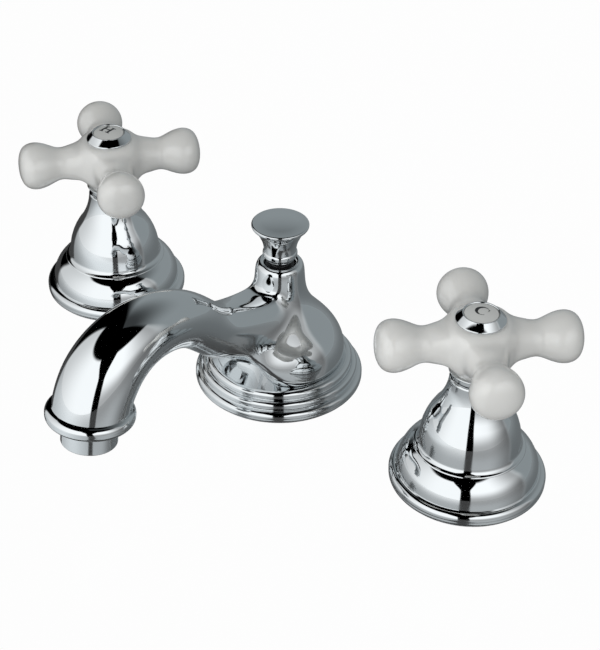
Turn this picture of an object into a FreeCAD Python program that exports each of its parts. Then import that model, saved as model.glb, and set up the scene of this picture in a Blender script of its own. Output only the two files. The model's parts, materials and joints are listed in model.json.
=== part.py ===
import FreeCAD, Part
import math
import os
import re
import Sketcher
from FreeCAD import Placement, Rotation, Vector

# A three-hole basin tap set: a hot and a cold deck valve with porcelain cross handles, and a low
# spout with a lift knob for the waste. Millimetres. The origin is the centre of the spout's hole
# on the deck's top face. +Z is up, the spout points to -Y and the cold valve stands at +X.

os.makedirs("parts", exist_ok=True)
doc = FreeCAD.newDocument("basin_tap_set")
sheet = doc.addObject("Spreadsheet::Sheet", "sizes")

SIZES = {
    # layout and clearances
    "unit_spacing": 101.6,  # spout axis to valve axis: four inches
    "deck_thickness": 20,  # room between the gaskets and the washers below
    "fit_gap": 0.05,  # radial gap of pieces that are screwed or pushed together
    "run_gap": 0.3,  # gap between faces that move past each other
    "gasket_height": 0.8,
    "gasket_inset": 0.8,
    # bell that covers a valve
    "bell_rim_radius": 31.35,
    "bell_rim_top": 6.6,
    "bell_groove_radius": 28.7,
    "bell_shoulder_radius": 22.2,
    "bell_shoulder_top": 18.3,
    "bell_body_radius": 20.3,
    "bell_waist_radius": 14.2,
    "bell_waist_height": 37.5,
    "bell_neck_radius": 10.1,
    "bell_top": 51.4,
    "bell_wall": 1.8,
    # valve body and what clamps it to the deck
    "thread_radius": 13.2,
    "thread_top": 22,
    "block_radius": 15,
    "block_top": -45,
    "block_bottom": -63,
    "block_flat": 13.4,
    "tail_radius": 10.3,
    "tail_length": 21,
    "tail_bore": 6.3,
    "inlet_bore": 4.5,
    "seat_height": 4.5,
    "outlet_height": -53.5,
    "outlet_radius": 7.15,
    "outlet_reach": 31,
    "outlet_bore": 4,
    "outlet_boss_radius": 8.4,
    "outlet_boss_reach": 18.5,
    "return_offset": 9.4,
    "return_bore": 2.4,
    "washer_radius": 20,
    "rubber_height": 3,
    "plate_height": 1.5,
    "nut_height": 8.5,
    "valve_nut_across": 36,
    "top_nut_height": 6,
    "fibre_height": 2,
    # cartridge
    "cartridge_thread_radius": 10.2,
    "cartridge_barrel_radius": 8.6,
    "cartridge_barrel_top": 15.5,
    "cartridge_hex_across": 24,
    "cartridge_hex_height": 5,
    "cartridge_upper_radius": 9.4,
    "cartridge_upper_top": 37.5,
    "gland_radius": 8,
    "gland_top": 50,
    "disc_bore": 7,
    "disc_radius": 6.8,
    "disc_height": 3,
    "disc_gap": 0.05,
    "port_inner_radius": 1.8,
    "port_outer_radius": 5.4,
    "port_half_angle": 36,
    "seal_height": 2,
    "seal_bore": 3.4,
    "foot_height": 2.8,
    "key_width": 2.4,
    "key_depth": 1.2,
    "barrel_radius": 5.5,
    "lug_height": 1.7,
    "lug_half_angle": 14,
    "handle_travel": 90,
    "groove_height": 24,
    "groove_width": 2.4,
    "groove_radius": 4.2,
    "stem_shoulder": 40,
    "stem_radius": 4.5,
    "spline_foot": 52,
    "spline_radius": 3.9,
    "spline_root_radius": 3.4,
    "stem_top": 64.2,
    # cross handle
    "hot_arm_angle": 54.8,
    "cold_arm_angle": 48,
    "skirt_radius": 9.3,
    "skirt_height": 2.7,
    "ferrule_rim_radius": 10.6,
    "ferrule_rim_height": 0.8,
    "ferrule_spigot_radius": 7.9,
    "ferrule_spigot_height": 2.8,
    "insert_radius": 5.6,
    "insert_top": 70,
    "screw_radius": 1.95,
    "screw_head_radius": 3.8,
    "screw_head_height": 3,
    "screw_length": 16,
    "hub_foot_radius": 9.8,
    "hub_radius": 13.8,
    "hub_top_radius": 10.5,
    "hub_top": 76.9,
    "arm_height": 67.7,
    "arm_root_radius": 9.1,
    "arm_waist_radius": 6.85,
    "arm_waist_reach": 19.3,
    "arm_bulb_radius": 10.1,
    "arm_bulb_reach": 32.8,
    "arm_length": 40,
    "arm_fillet": 2.6,
    "cap_socket_radius": 7.6,
    "cap_radius": 10.1,
    "cap_face_radius": 7.3,
    "cap_height": 4,
    "cap_spigot_height": 3.5,
    "marker_radius": 6.8,
    "marker_height": 2.3,
    "marker_crown": 0.7,
    # spout base
    "flange_radius": 35.8,
    "flange_step": 2.25,
    "first_ring_top": 5.7,
    "second_ring_top": 9.2,
    "flange_top": 12.5,
    "flange_wall": 2.4,
    "flange_bore": 12.2,
    # spout body
    "foot_radius": 27,
    "bulb_radius": 25.8,
    "bulb_height": 24,
    "bulb_end_radius": 18.6,
    "bulb_end_height": 33,
    "collar_radius": 10.3,
    "collar_foot": 48.5,
    "collar_top": 59,
    "collar_mouth_radius": 6.4,
    "relief_radius": 31,
    "relief_reach": 46,
    "relief_top": 36,
    "spout_reach": 108,
    "outlet_face": 38.9,
    "path_start": 4,
    "path_start_height": 40.4,
    "rise_reach": 50,
    "rise_height": 53.6,
    "crest_reach": 82,
    "crest_height": 64.8,
    "root_half_width": 13.8,
    "root_half_height": 17,
    "root_drop": 6,
    "flare_half_width": 12.3,
    "flare_half_height": 13.6,
    "flare_drop": 4,
    "throat_half_width": 10.4,
    "throat_half_height": 11,
    "throat_drop": 2,
    "arm_start_radius": 8.8,
    "arm_rise_radius": 10.7,
    "arm_crest_radius": 13.1,
    "arm_bend_radius": 15,
    "arm_end_radius": 15.4,
    "bead_radius": 17.45,
    "bead_height": 5,
    "waterway_radius": 4.5,
    "chamber_radius": 9,
    "chamber_top": 38,
    # spout shank, tee and their fastenings
    "shank_top": 20,
    "shank_bottom": -58,
    "shank_bore": 7.6,
    "spout_nut_across": 30,
    "tee_nut_height": 14,
    "tee_collar_radius": 11.2,
    "tee_collar_height": 2.5,
    "tee_neck_radius": 8.4,
    "tee_body_radius": 11,
    "tee_height": -74.5,
    "tee_half_height": 8,
    "tee_shoulder_radius": 7.7,
    "tee_reach": 30,
    "gland_bottom": -90,
    "gland_nose_radius": 7,
    # outlet fittings
    "aerator_radius": 11.1,
    "aerator_length": 8.1,
    "aerator_thread_radius": 10.4,
    "aerator_thread_height": 7,
    "aerator_bore": 9.2,
    "aerator_lip": 1.4,
    "aerator_mouth": 8.3,
    "straightener_height": 9,
    # lift rod
    "rod_radius": 2.4,
    "rod_bottom": -135,
    "tube_radius": 3.4,
    "tube_bore": 2.9,
    "tube_top": 48,
    "bushing_seat": 55,
    "bushing_flange_top": 57.8,
    "bushing_boss_radius": 3.6,
    "bushing_boss_top": 60,
    "bushing_spigot_radius": 4.2,
    "knob_foot_radius": 6,
    "knob_bead_radius": 7.2,
    "knob_bead_height": 2.7,
    "knob_waist_radius": 6.75,
    "knob_waist_height": 4.8,
    "knob_radius": 11.9,
    "knob_height": 16.2,
    "knob_crown": 1.7,
}

for row, (alias, number) in enumerate(SIZES.items(), start=1):
    sheet.set(f"A{row}", alias.replace("_", " "))
    sheet.set(f"B{row}", str(number))
    sheet.setAlias(f"B{row}", alias)
doc.recompute()

pieces = []
cuts = []

V_AXIS = -2
H_AXIS = -1
ORIGIN = (-1, 1)


def bound(text):
    """An expression in which each size's name points at its cell."""
    return re.sub(r"[a-z_]+", lambda word: f"sizes.{word[0]}" if word[0] in SIZES else word[0], text)


def value(text):
    return float(sheet.evalExpression(bound(text)))


def new_body(name, x="0", turn="0"):
    body = doc.addObject("PartDesign::Body", name)
    body.Label = name
    body.Placement.Rotation = Rotation(Vector(0, 0, 1), 0)
    body.setExpression("Placement.Base.x", bound(x))
    if turn != "0":
        body.Placement.Rotation = Rotation(Vector(0, 0, 1), value(turn))
        body.setExpression("Placement.Rotation.Angle", bound(turn))
    pieces.append(body)
    return body


def new_sketch(body, plane, height=None):
    """A sketch on one of the body's own planes, lifted along the plane's normal if a height is given."""
    sketch = body.newObject("Sketcher::SketchObject", f"{body.Name}_sketch")
    support = [feature for feature in body.Origin.OriginFeatures if feature.Role == plane]
    sketch.AttachmentSupport = [(support[0], "")]
    sketch.MapMode = "FlatFace"
    if height is not None:
        sketch.setExpression("AttachmentOffset.Base.z", bound(height))
    return sketch


def heading_at(point, centre, towards):
    """The direction of the circle about centre at point, on the side of towards."""
    spoke = point - centre
    tangent = Vector(-spoke.y, spoke.x, 0).normalize()
    return tangent if tangent.dot(towards) > 0 else tangent * -1


def smooth_middle(start, heading, end):
    """The middle of the arc from start to end that leaves start along heading."""
    side = Vector(-heading.y, heading.x, 0)
    chord = end - start
    centre = start + side * (chord.dot(chord) / (2 * side.dot(chord)))
    spoke = ((start + end) * 0.5 - centre).normalize() * (start - centre).Length
    return centre + spoke if chord.dot(heading) > 0 else centre - spoke


def dome_middle(start, end, level):
    """The middle of the arc from start to end whose centre is at this height, or on x = 0 without one."""
    if level is None:
        height = (start.x**2 - end.x**2 + start.y**2 - end.y**2) / (2 * (start.y - end.y))
        centre = Vector(0, height, 0)
    else:
        rise, fall = start.y - level, end.y - level
        centre = Vector((start.x**2 - end.x**2 + rise**2 - fall**2) / (2 * (start.x - end.x)), level, 0)
    return centre + ((start + end) * 0.5 - centre).normalize() * (start - centre).Length


def arc_through(start, middle, end):
    """An arc that runs anticlockwise, its centre, and which of its ends is start and which is end."""
    centre = Part.Arc(start, middle, end).toShape().Curve.Center
    onwards = (middle - start).cross(end - middle).z > 0
    first, last = (start, end) if onwards else (end, start)
    angles = [math.atan2(point.y - centre.y, point.x - centre.x) for point in (first, last)]
    if angles[1] < angles[0]:
        angles[1] += 2 * math.pi
    circle = Part.Circle(centre, Vector(0, 0, 1), (start - centre).Length)
    return Part.ArcOfCircle(circle, *angles), centre, (1, 2) if onwards else (2, 1)


class Pen:
    """Draws lines and arcs in a sketch and ties each point to expressions on the sheet."""

    def __init__(self, sketch):
        self.sketch = sketch
        self.constraints = []
        self.expressions = {}

    def add(self, constraint, expression=None):
        self.constraints.append(constraint)
        if expression is not None:
            self.expressions[len(self.constraints) - 1] = expression

    def pin(self, index, end, point):
        """Ties one point to its two coordinates."""
        for kind, text, axis in (("DistanceX", point[0], V_AXIS), ("DistanceY", point[1], H_AXIS)):
            number = value(text)
            if text == "0":
                self.add(Sketcher.Constraint("PointOnObject", index, end, axis))
            else:
                self.add(Sketcher.Constraint(kind, *ORIGIN, index, end, number), text)

    def finish(self):
        first = len(self.sketch.Constraints)
        self.sketch.addConstraint(self.constraints)
        for place, text in self.expressions.items():
            self.sketch.setExpression(f"Constraints[{first + place}]", bound(text))

    def outline(self, steps, closed=True):
        """Draws through the steps. A step (x, y) is reached by a line, and (x, y, "smooth") by an arc that
        carries on from the stretch before. (x, y, "dome") is an arc with its centre on the upright axis, and
        (x, y, "dome", height) one with its centre at that height. (x, y, via x, via y) is an arc through
        the point via."""
        points = [Vector(value(step[0]), value(step[1]), 0) for step in steps]
        order = list(range(1, len(steps))) + ([0] if closed else [])
        heading = None
        drawn = []
        for place in order:
            start, end, step = points[place - 1], points[place], steps[place]
            kind = step[2] if place > 0 and len(step) > 2 else "line"
            if kind == "line":
                index, ends = self.sketch.addGeometry(Part.LineSegment(start, end), False), (1, 2)
                heading = (end - start).normalize()
            else:
                if kind == "smooth":
                    via = smooth_middle(start, heading, end)
                elif kind == "dome":
                    via = dome_middle(start, end, value(step[3]) if len(step) > 3 else None)
                else:
                    via = Vector(value(step[2]), value(step[3]), 0)
                arc, centre, ends = arc_through(start, via, end)
                index = self.sketch.addGeometry(arc, False)
                heading = heading_at(end, centre, end - via)
                if kind == "dome":
                    self.centre_arc(index, centre, step[3:])
                elif kind != "smooth":
                    self.mark(index, step[2:])
            if drawn:
                self.join(drawn[-1], (index, ends), kind == "smooth")
            drawn.append((index, ends))
            self.pin(index, ends[0], steps[place - 1][:2])
        if closed:
            self.join(drawn[-1], drawn[0], False)
        else:
            self.pin(drawn[-1][0], drawn[-1][1][1], steps[-1][:2])

    def join(self, before, after, smooth):
        kind = "Tangent" if smooth else "Coincident"
        self.add(Sketcher.Constraint(kind, before[0], before[1][1], after[0], after[1][0]))

    def centre_arc(self, arc, centre, level):
        """Keeps an arc's centre on the axis that it is turned about."""
        if level:
            self.add(Sketcher.Constraint("DistanceY", *ORIGIN, arc, 3, centre.y), level[0])
        else:
            self.add(Sketcher.Constraint("PointOnObject", arc, 3, V_AXIS))

    def mark(self, arc, via):
        """Keeps an arc on the point that it was drawn through."""
        spot = self.sketch.addGeometry(Part.Point(Vector(value(via[0]), value(via[1]), 0)), True)
        self.pin(spot, 1, via)
        self.add(Sketcher.Constraint("PointOnObject", spot, 1, arc))

    def axis(self, start, end):
        """A construction line to turn about."""
        points = [Vector(value(x), value(y), 0) for x, y in (start, end)]
        line = self.sketch.addGeometry(Part.LineSegment(*points), True)
        self.pin(line, 1, start)
        self.pin(line, 2, end)

    def circle(self, x, y, radius):
        centre = Vector(value(x), value(y), 0)
        index = self.sketch.addGeometry(Part.Circle(centre, Vector(0, 0, 1), value(radius)), False)
        self.pin(index, 3, (x, y))
        self.add(Sketcher.Constraint("Radius", index, value(radius)), radius)


def drawing(body, plane, *outlines, height=None, axis=None):
    """A sketch that holds closed outlines."""
    sketch = new_sketch(body, plane, height)
    pen = Pen(sketch)
    if axis:
        pen.axis(*axis)
    for steps in outlines:
        pen.outline(steps)
    pen.finish()
    return sketch


def rings(body, plane, *circles, height=None):
    """A sketch that holds circles, each given as x, y and radius."""
    sketch = new_sketch(body, plane, height)
    pen = Pen(sketch)
    for circle in circles:
        pen.circle(*circle)
    pen.finish()
    return sketch


def feature(body, kind, sketch, name, axis=None, length=None, up=None, **settings):
    """Adds a feature to a body, and notes the volume before a cut, to show later that it cut."""
    cutting = kind in ("Groove", "Pocket", "SubtractivePipe")
    before = body.Shape.Volume if cutting else 0
    made = body.newObject(f"PartDesign::{kind}", f"{body.Name}_{name}")
    made.Profile = sketch
    if kind in ("Revolution", "Groove"):
        made.ReferenceAxis = (sketch, [axis or "V_Axis"])
        made.Angle = 360
    if length is not None:
        made.setExpression("Length", bound(length))
    if up is not None:
        made.Reversed = up
    for key, setting in settings.items():
        setattr(made, key, setting)
    doc.recompute()
    if cutting:
        cuts.append((made.Name, before, body.Shape.Volume))
    return made


def turned(name, steps, x="0", turn="0"):
    """A piece that is turned on a lathe, from half of its section."""
    body = new_body(name, x, turn)
    feature(body, "Revolution", drawing(body, "XZ_Plane", steps), "turned")
    return body


def ring_steps(inner, outer, low, high):
    return [(inner, low), (outer, low), (outer, high), (inner, high)]


def ring(name, inner, outer, low, high, x="0", turn="0"):
    return turned(name, ring_steps(inner, outer, low, high), x, turn)


def bored(body, steps, name="bore"):
    """Turns a hollow out of a body."""
    return feature(body, "Groove", drawing(body, "XZ_Plane", steps), name)


def hexagon(across):
    corner = f"({across}) / sqrt(3)"
    return [(f"{corner} * {c}", f"({across}) * {s}")
            for c, s in ((1, 0), (0.5, 0.5), (-0.5, 0.5), (-1, 0), (-0.5, -0.5), (0.5, -0.5))]


def hexagon_points(across):
    """The corners of a hexagon, with the ones on an axis written as plain zeros."""
    return [(x, "0" if y.endswith("* 0") else y) for x, y in hexagon(across)]


def bevel_steps(across, edge, rise):
    """The corner that a hexagon loses at one end: rise is -1 at its top and 1 at its foot."""
    corner = f"({across}) / sqrt(3) + 1"
    drop = f"{edge} + {rise} * (({across}) * (1 / sqrt(3) - 0.48) + 1) / sqrt(3)"
    return [(f"({across}) * 0.48", edge), (corner, edge), (corner, drop)]


def hex_nut(name, across, bore, low, high, x="0"):
    """A hexagon nut with turned corners."""
    body = new_body(name, x)
    sketch = new_sketch(body, "XY_Plane", low)
    pen = Pen(sketch)
    pen.outline(hexagon_points(across))
    pen.circle("0", "0", bore)
    pen.finish()
    feature(body, "Pad", sketch, "blank", length=f"{high} - ({low})")
    corners = drawing(body, "XZ_Plane", bevel_steps(across, high, -1), bevel_steps(across, low, 1))
    feature(body, "Groove", corners, "bevel")
    return body


def polar(radius, angle):
    return f"({radius}) * cos({angle})", f"({radius}) * sin({angle})"


def sector(inner, outer, middle, half):
    """A closed outline between two radii, half an angle to each side of its middle."""
    low, high = f"{middle} - ({half})", f"{middle} + ({half})"
    return [polar(inner, low), polar(outer, low), polar(outer, high) + polar(outer, middle),
            polar(inner, high)]


# ---- bell and its gasket ----

def bell(name, x):
    wall = "bell_wall"
    steps = [
        (f"bell_groove_radius - {wall} - 0.3", "gasket_height"),
        ("bell_rim_radius - 0.8", "gasket_height"),
        ("bell_groove_radius", "bell_rim_top", "bell_rim_radius", "bell_rim_top / 2"),
        ("bell_shoulder_radius", "bell_shoulder_top",
         "bell_shoulder_radius + 4.6", "(bell_rim_top + bell_shoulder_top) / 2 + 1"),
        ("bell_body_radius", "bell_shoulder_top + 2.5", "bell_body_radius + 0.6", "bell_shoulder_top + 1"),
        ("bell_waist_radius", "bell_waist_height",
         "(bell_body_radius + bell_waist_radius) / 2 + 1.3",
         "(bell_shoulder_top + bell_waist_height) / 2 + 1.8"),
        ("bell_neck_radius", "bell_top - 1.4", "smooth"),
        ("bell_neck_radius - 0.8", "bell_top", "bell_neck_radius - 0.2", "bell_top - 0.5"),
        ("gland_radius + fit_gap", "bell_top"),
        ("gland_radius + fit_gap", "bell_waist_height + 3.5"),
        (f"bell_waist_radius - {wall} - 0.2", "bell_waist_height - 1"),
        (f"bell_body_radius - {wall}", "bell_shoulder_top + 3.5",
         f"(bell_body_radius + bell_waist_radius) / 2 + 1 - {wall}",
         "(bell_shoulder_top + bell_waist_height) / 2 + 1.8"),
        (f"bell_body_radius - {wall}", "bell_shoulder_top + 1"),
        (f"bell_groove_radius - {wall} - 2", "bell_rim_top + 6.5"),
        (f"bell_groove_radius - {wall} - 0.3", "bell_rim_top"),
    ]
    turned(name, steps, x)


# ---- valve body, its nuts and washers ----

def valve_body(name, x, turn):
    body = new_body(name, x, turn)
    outer = [
        ("tail_bore", "block_bottom - tail_length"),
        ("tail_radius - 0.7", "block_bottom - tail_length"),
        ("tail_radius", "block_bottom - tail_length + 0.7"),
        ("tail_radius", "block_bottom"),
        ("block_radius - 1", "block_bottom"),
        ("block_radius", "block_bottom + 1"),
        ("block_radius", "block_top"),
        ("thread_radius", "block_top"),
        ("thread_radius", "thread_top - 0.8"),
        ("thread_radius - 0.8", "thread_top"),
        ("cartridge_thread_radius + fit_gap", "thread_top"),
        ("cartridge_thread_radius + fit_gap", "seat_height"),
        ("inlet_bore", "seat_height"),
        ("inlet_bore", "block_bottom - 1"),
        ("tail_bore", "block_bottom - 1"),
    ]
    feature(body, "Revolution", drawing(body, "XZ_Plane", outer), "turned")
    # Two flats for a spanner.
    flat = [("-(block_radius + 1)", "block_flat"), ("block_radius + 1", "block_flat"),
            ("block_radius + 1", "block_radius + 1"), ("-(block_radius + 1)", "block_radius + 1")]
    back = [(px, f"-({py})") for px, py in flat]
    flats = drawing(body, "XY_Plane", flat, back, height="block_top")
    feature(body, "Pocket", flats, "flats", length="block_top - block_bottom")
    # The side outlet that the hose to the spout is screwed on.
    middle = (("0", "outlet_height"), ("outlet_reach", "outlet_height"))
    stub = [
        ("inlet_bore + 2", "outlet_height"),
        ("inlet_bore + 2", "outlet_height + outlet_boss_radius"),
        ("outlet_boss_reach", "outlet_height + outlet_boss_radius"),
        ("outlet_boss_reach", "outlet_height + outlet_radius"),
        ("outlet_reach - 0.7", "outlet_height + outlet_radius"),
        ("outlet_reach", "outlet_height + outlet_radius - 0.7"),
        ("outlet_reach", "outlet_height"),
    ]
    feature(body, "Revolution", drawing(body, "XZ_Plane", stub, axis=middle), "stub", axis="Axis0")
    drill = [
        ("return_offset - return_bore", "outlet_height"),
        ("return_offset - return_bore", "outlet_height + outlet_bore"),
        ("outlet_reach", "outlet_height + outlet_bore"),
        ("outlet_reach", "outlet_height"),
    ]
    feature(body, "Groove", drawing(body, "XZ_Plane", drill, axis=middle), "drilling", axis="Axis0")
    back = rings(body, "XY_Plane", ("return_offset", "0", "return_bore"), height="seat_height")
    feature(body, "Pocket", back, "return", length="seat_height - outlet_height")


def deck_fastenings(prefix, bore, across, height, x="0"):
    """A rubber washer, a steel washer and a lock nut below the deck."""
    levels = ["-deck_thickness", "-deck_thickness - rubber_height",
              "-deck_thickness - rubber_height - plate_height"]
    ring(f"{prefix}_rubber_washer", bore, "washer_radius", levels[1], levels[0], x)
    ring(f"{prefix}_steel_washer", bore, "washer_radius + 0.5", levels[2], levels[1], x)
    hex_nut(f"{prefix}_lock_nut", across, bore, f"{levels[2]} - {height}", levels[2], x)


# ---- cartridge ----

DISC_FOOT = "seat_height + seal_height"
DISC_TOP = f"{DISC_FOOT} + disc_height"
MOVING_FOOT = f"{DISC_TOP} + disc_gap"
MOVING_TOP = f"{MOVING_FOOT} + disc_height"
STEM_FOOT = f"{MOVING_TOP} + disc_gap"
FOOT_TOP = f"{STEM_FOOT} + foot_height"
LUG_FOOT = f"{FOOT_TOP} + 0.5"
RECESS_TOP = f"{LUG_FOOT} + lug_height + run_gap"


def cartridge_housing(name, x, turn):
    body = new_body(name, x, turn)
    shell = [
        ("0", "seat_height + 0.5"),
        ("cartridge_barrel_radius", "seat_height + 0.5"),
        ("cartridge_barrel_radius", "cartridge_barrel_top"),
        ("cartridge_thread_radius", "cartridge_barrel_top"),
        ("cartridge_thread_radius", "thread_top + cartridge_hex_height"),
        ("cartridge_upper_radius", "thread_top + cartridge_hex_height"),
        ("cartridge_upper_radius", "cartridge_upper_top"),
        ("gland_radius", "cartridge_upper_top + 1.5"),
        ("gland_radius", "gland_top"),
        ("0", "gland_top"),
    ]
    feature(body, "Revolution", drawing(body, "XZ_Plane", shell), "turned")
    hexagonal = drawing(body, "XY_Plane", hexagon_points("cartridge_hex_across"), height="thread_top")
    feature(body, "Pad", hexagonal, "hexagon", length="cartridge_hex_height")
    hollow = [
        ("0", "seat_height + 0.5"),
        ("disc_bore", "seat_height + 0.5"),
        ("disc_bore", LUG_FOOT),
        ("barrel_radius + fit_gap", LUG_FOOT),
        ("barrel_radius + fit_gap", "stem_shoulder + run_gap"),
        ("stem_radius + fit_gap", "stem_shoulder + run_gap"),
        ("stem_radius + fit_gap", "gland_top"),
        ("0", "gland_top"),
    ]
    bored(body, hollow)
    # The recess that stops the stem's lug at both ends of a quarter turn.
    swing = "(handle_travel / 2 + lug_half_angle + 2.5)"
    travel = sector("barrel_radius - 1", "disc_bore", "0", swing)
    recess = drawing(body, "XY_Plane", travel, height=RECESS_TOP)
    feature(body, "Pocket", recess, "recess", length="lug_height + run_gap")
    # The windows that let the water out between the discs and the barrel's wall.
    half = "disc_radius * 0.5"
    window = [(f"-{half}", MOVING_FOOT), (half, MOVING_FOOT), (half, FOOT_TOP), (f"-{half}", FOOT_TOP)]
    windows = drawing(body, "XZ_Plane", window)
    feature(body, "Pocket", windows, "windows", length="2 * cartridge_barrel_radius + 2", Midplane=True)


def seat_seal(name, x):
    rounding = "seal_height / 4"
    steps = [
        ("seal_bore", "seat_height"),
        (f"disc_bore - fit_gap - {rounding}", "seat_height"),
        ("disc_bore - fit_gap", f"seat_height + {rounding}"),
        ("disc_bore - fit_gap", DISC_FOOT),
        ("seal_bore", DISC_FOOT),
    ]
    turned(name, steps, x)


def fixed_disc(name, x, turn):
    """The lower ceramic disc, with its two ports a quarter turn from the upper disc's."""
    body = turned(name, ring_steps("0", "disc_bore - fit_gap", DISC_FOOT, DISC_TOP), x, turn)
    ports = [sector("port_inner_radius", "port_outer_radius", middle, "port_half_angle")
             for middle in ("90", "270")]
    feature(body, "Pocket", drawing(body, "XY_Plane", *ports, height=DISC_TOP), "ports", length="disc_height")


def moving_disc(name, x, turn):
    """The upper ceramic disc, a bow tie whose slot takes the stem's key."""
    body = turned(name, ring_steps("0", "disc_radius", MOVING_FOOT, MOVING_TOP), x, turn)
    gaps = [sector("port_inner_radius", "disc_radius + 1", middle, "port_half_angle")
            for middle in ("0", "180")]
    feature(body, "Pocket", drawing(body, "XY_Plane", *gaps, height=MOVING_TOP), "gaps", length="disc_height")
    half = "(key_width / 2 + fit_gap)"
    slot = [(f"-{half}", "-disc_radius - 1"), (half, "-disc_radius - 1"),
            (half, "disc_radius + 1"), (f"-{half}", "disc_radius + 1")]
    seat = drawing(body, "XY_Plane", slot, height=MOVING_TOP)
    feature(body, "Pocket", seat, "slot", length="key_depth + disc_gap")


def spline_points(tip, root, teeth=12):
    """The outline of a splined bar: tips and roots by turns."""
    step = 180 / teeth
    corners = [polar(root if place % 2 else tip, f"{place * step:g} + 1") for place in range(2 * teeth)]
    return corners


def cartridge_stem(name, x, turn, start):
    """The stem. Its lug rests at start, and the recess stops it there and a quarter turn away."""
    body = new_body(name, x, turn)
    steps = [
        ("0", STEM_FOOT),
        ("disc_radius - 0.1", STEM_FOOT),
        ("disc_radius - 0.1", FOOT_TOP),
        ("barrel_radius", FOOT_TOP),
        ("barrel_radius", "groove_height"),
        ("groove_radius", "groove_height"),
        ("groove_radius", "groove_height + groove_width"),
        ("barrel_radius", "groove_height + groove_width"),
        ("barrel_radius", "stem_shoulder"),
        ("stem_radius", "stem_shoulder"),
        ("stem_radius", "spline_foot"),
        ("0", "spline_foot"),
    ]
    feature(body, "Revolution", drawing(body, "XZ_Plane", steps), "turned")
    teeth = spline_points("spline_radius", "spline_root_radius")
    teeth = drawing(body, "XY_Plane", teeth, height="spline_foot")
    feature(body, "Pad", teeth, "spline", length="stem_top - spline_foot")
    sweep = sector("barrel_radius - 1", "disc_bore - fit_gap - 0.05", start, "lug_half_angle")
    lug = drawing(body, "XY_Plane", sweep, height=LUG_FOOT)
    feature(body, "Pad", lug, "lug", length="lug_height")
    half = "key_width / 2"
    key = [(f"-{half}", "-disc_radius + 1"), (half, "-disc_radius + 1"),
           (half, "disc_radius - 1"), (f"-{half}", "disc_radius - 1")]
    tongue = drawing(body, "XY_Plane", key, height=STEM_FOOT)
    feature(body, "Pad", tongue, "key", length="key_depth", up=True)
    tap_foot = "stem_top - screw_length + 5.8"
    tapped = [("0", tap_foot), ("screw_radius + fit_gap", tap_foot), ("screw_radius + fit_gap", "stem_top"),
              ("0", "stem_top")]
    bored(body, tapped, "tapped")


def stem_o_ring(name, x):
    low, high = "groove_height + 0.1", "groove_height + groove_width - 0.1"
    steps = [
        ("groove_radius + 0.03", low),
        ("barrel_radius - 0.4", low),
        ("barrel_radius - 0.4", high, "barrel_radius + 0.02", f"({low} + {high}) / 2"),
        ("groove_radius + 0.03", high),
    ]
    turned(name, steps, x)


# ---- cross handle ----

SKIRT_FOOT = "bell_top + run_gap"
RIM_FOOT = f"{SKIRT_FOOT} + skirt_height"
HUB_FOOT = f"{RIM_FOOT} + ferrule_rim_height"
SPIGOT_TOP = f"{HUB_FOOT} + ferrule_spigot_height"
INSERT_FOOT = f"{SKIRT_FOOT} + 0.9"


def handle_ferrule(name, x):
    """The plated ring under the hub."""
    steps = [
        ("gland_radius + 0.3", SKIRT_FOOT),
        ("skirt_radius", SKIRT_FOOT),
        ("skirt_radius", RIM_FOOT),
        ("ferrule_rim_radius", RIM_FOOT),
        ("ferrule_rim_radius", HUB_FOOT),
        ("ferrule_spigot_radius", HUB_FOOT),
        ("ferrule_spigot_radius", SPIGOT_TOP),
        ("insert_radius + fit_gap", SPIGOT_TOP),
        ("insert_radius + fit_gap", f"{SKIRT_FOOT} + 1.5"),
        ("gland_radius + 0.3", f"{SKIRT_FOOT} + 1.5"),
    ]
    turned(name, steps, x)


def handle_insert(name, x, turn):
    """The brass bush that carries the stem's torque into the porcelain."""
    body = turned(name, ring_steps("0", "insert_radius", INSERT_FOOT, "insert_top"), x, turn)
    teeth = spline_points("spline_radius + fit_gap", "spline_root_radius + fit_gap")
    socket = drawing(body, "XY_Plane", teeth, height="stem_top + run_gap")
    feature(body, "Pocket", socket, "socket", length=f"stem_top + run_gap - ({INSERT_FOOT})")
    hole = [("0", "stem_top - 1"), ("screw_radius + fit_gap", "stem_top - 1"),
            ("screw_radius + fit_gap", "insert_top"), ("0", "insert_top")]
    bored(body, hole)


def handle_screw(name, x):
    body = turned(name, [
        ("0", "insert_top - screw_length"),
        ("screw_radius", "insert_top - screw_length"),
        ("screw_radius", "insert_top"),
        ("screw_head_radius", "insert_top"),
        ("screw_head_radius", "insert_top + screw_head_height - 1"),
        ("screw_head_radius - 1", "insert_top + screw_head_height"),
        ("0", "insert_top + screw_head_height"),
    ], x)
    key = hexagon_points("screw_head_radius * 0.8")
    key = drawing(body, "XY_Plane", key, height="insert_top + screw_head_height")
    feature(body, "Pocket", key, "key", length="screw_head_height * 0.6")


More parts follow.
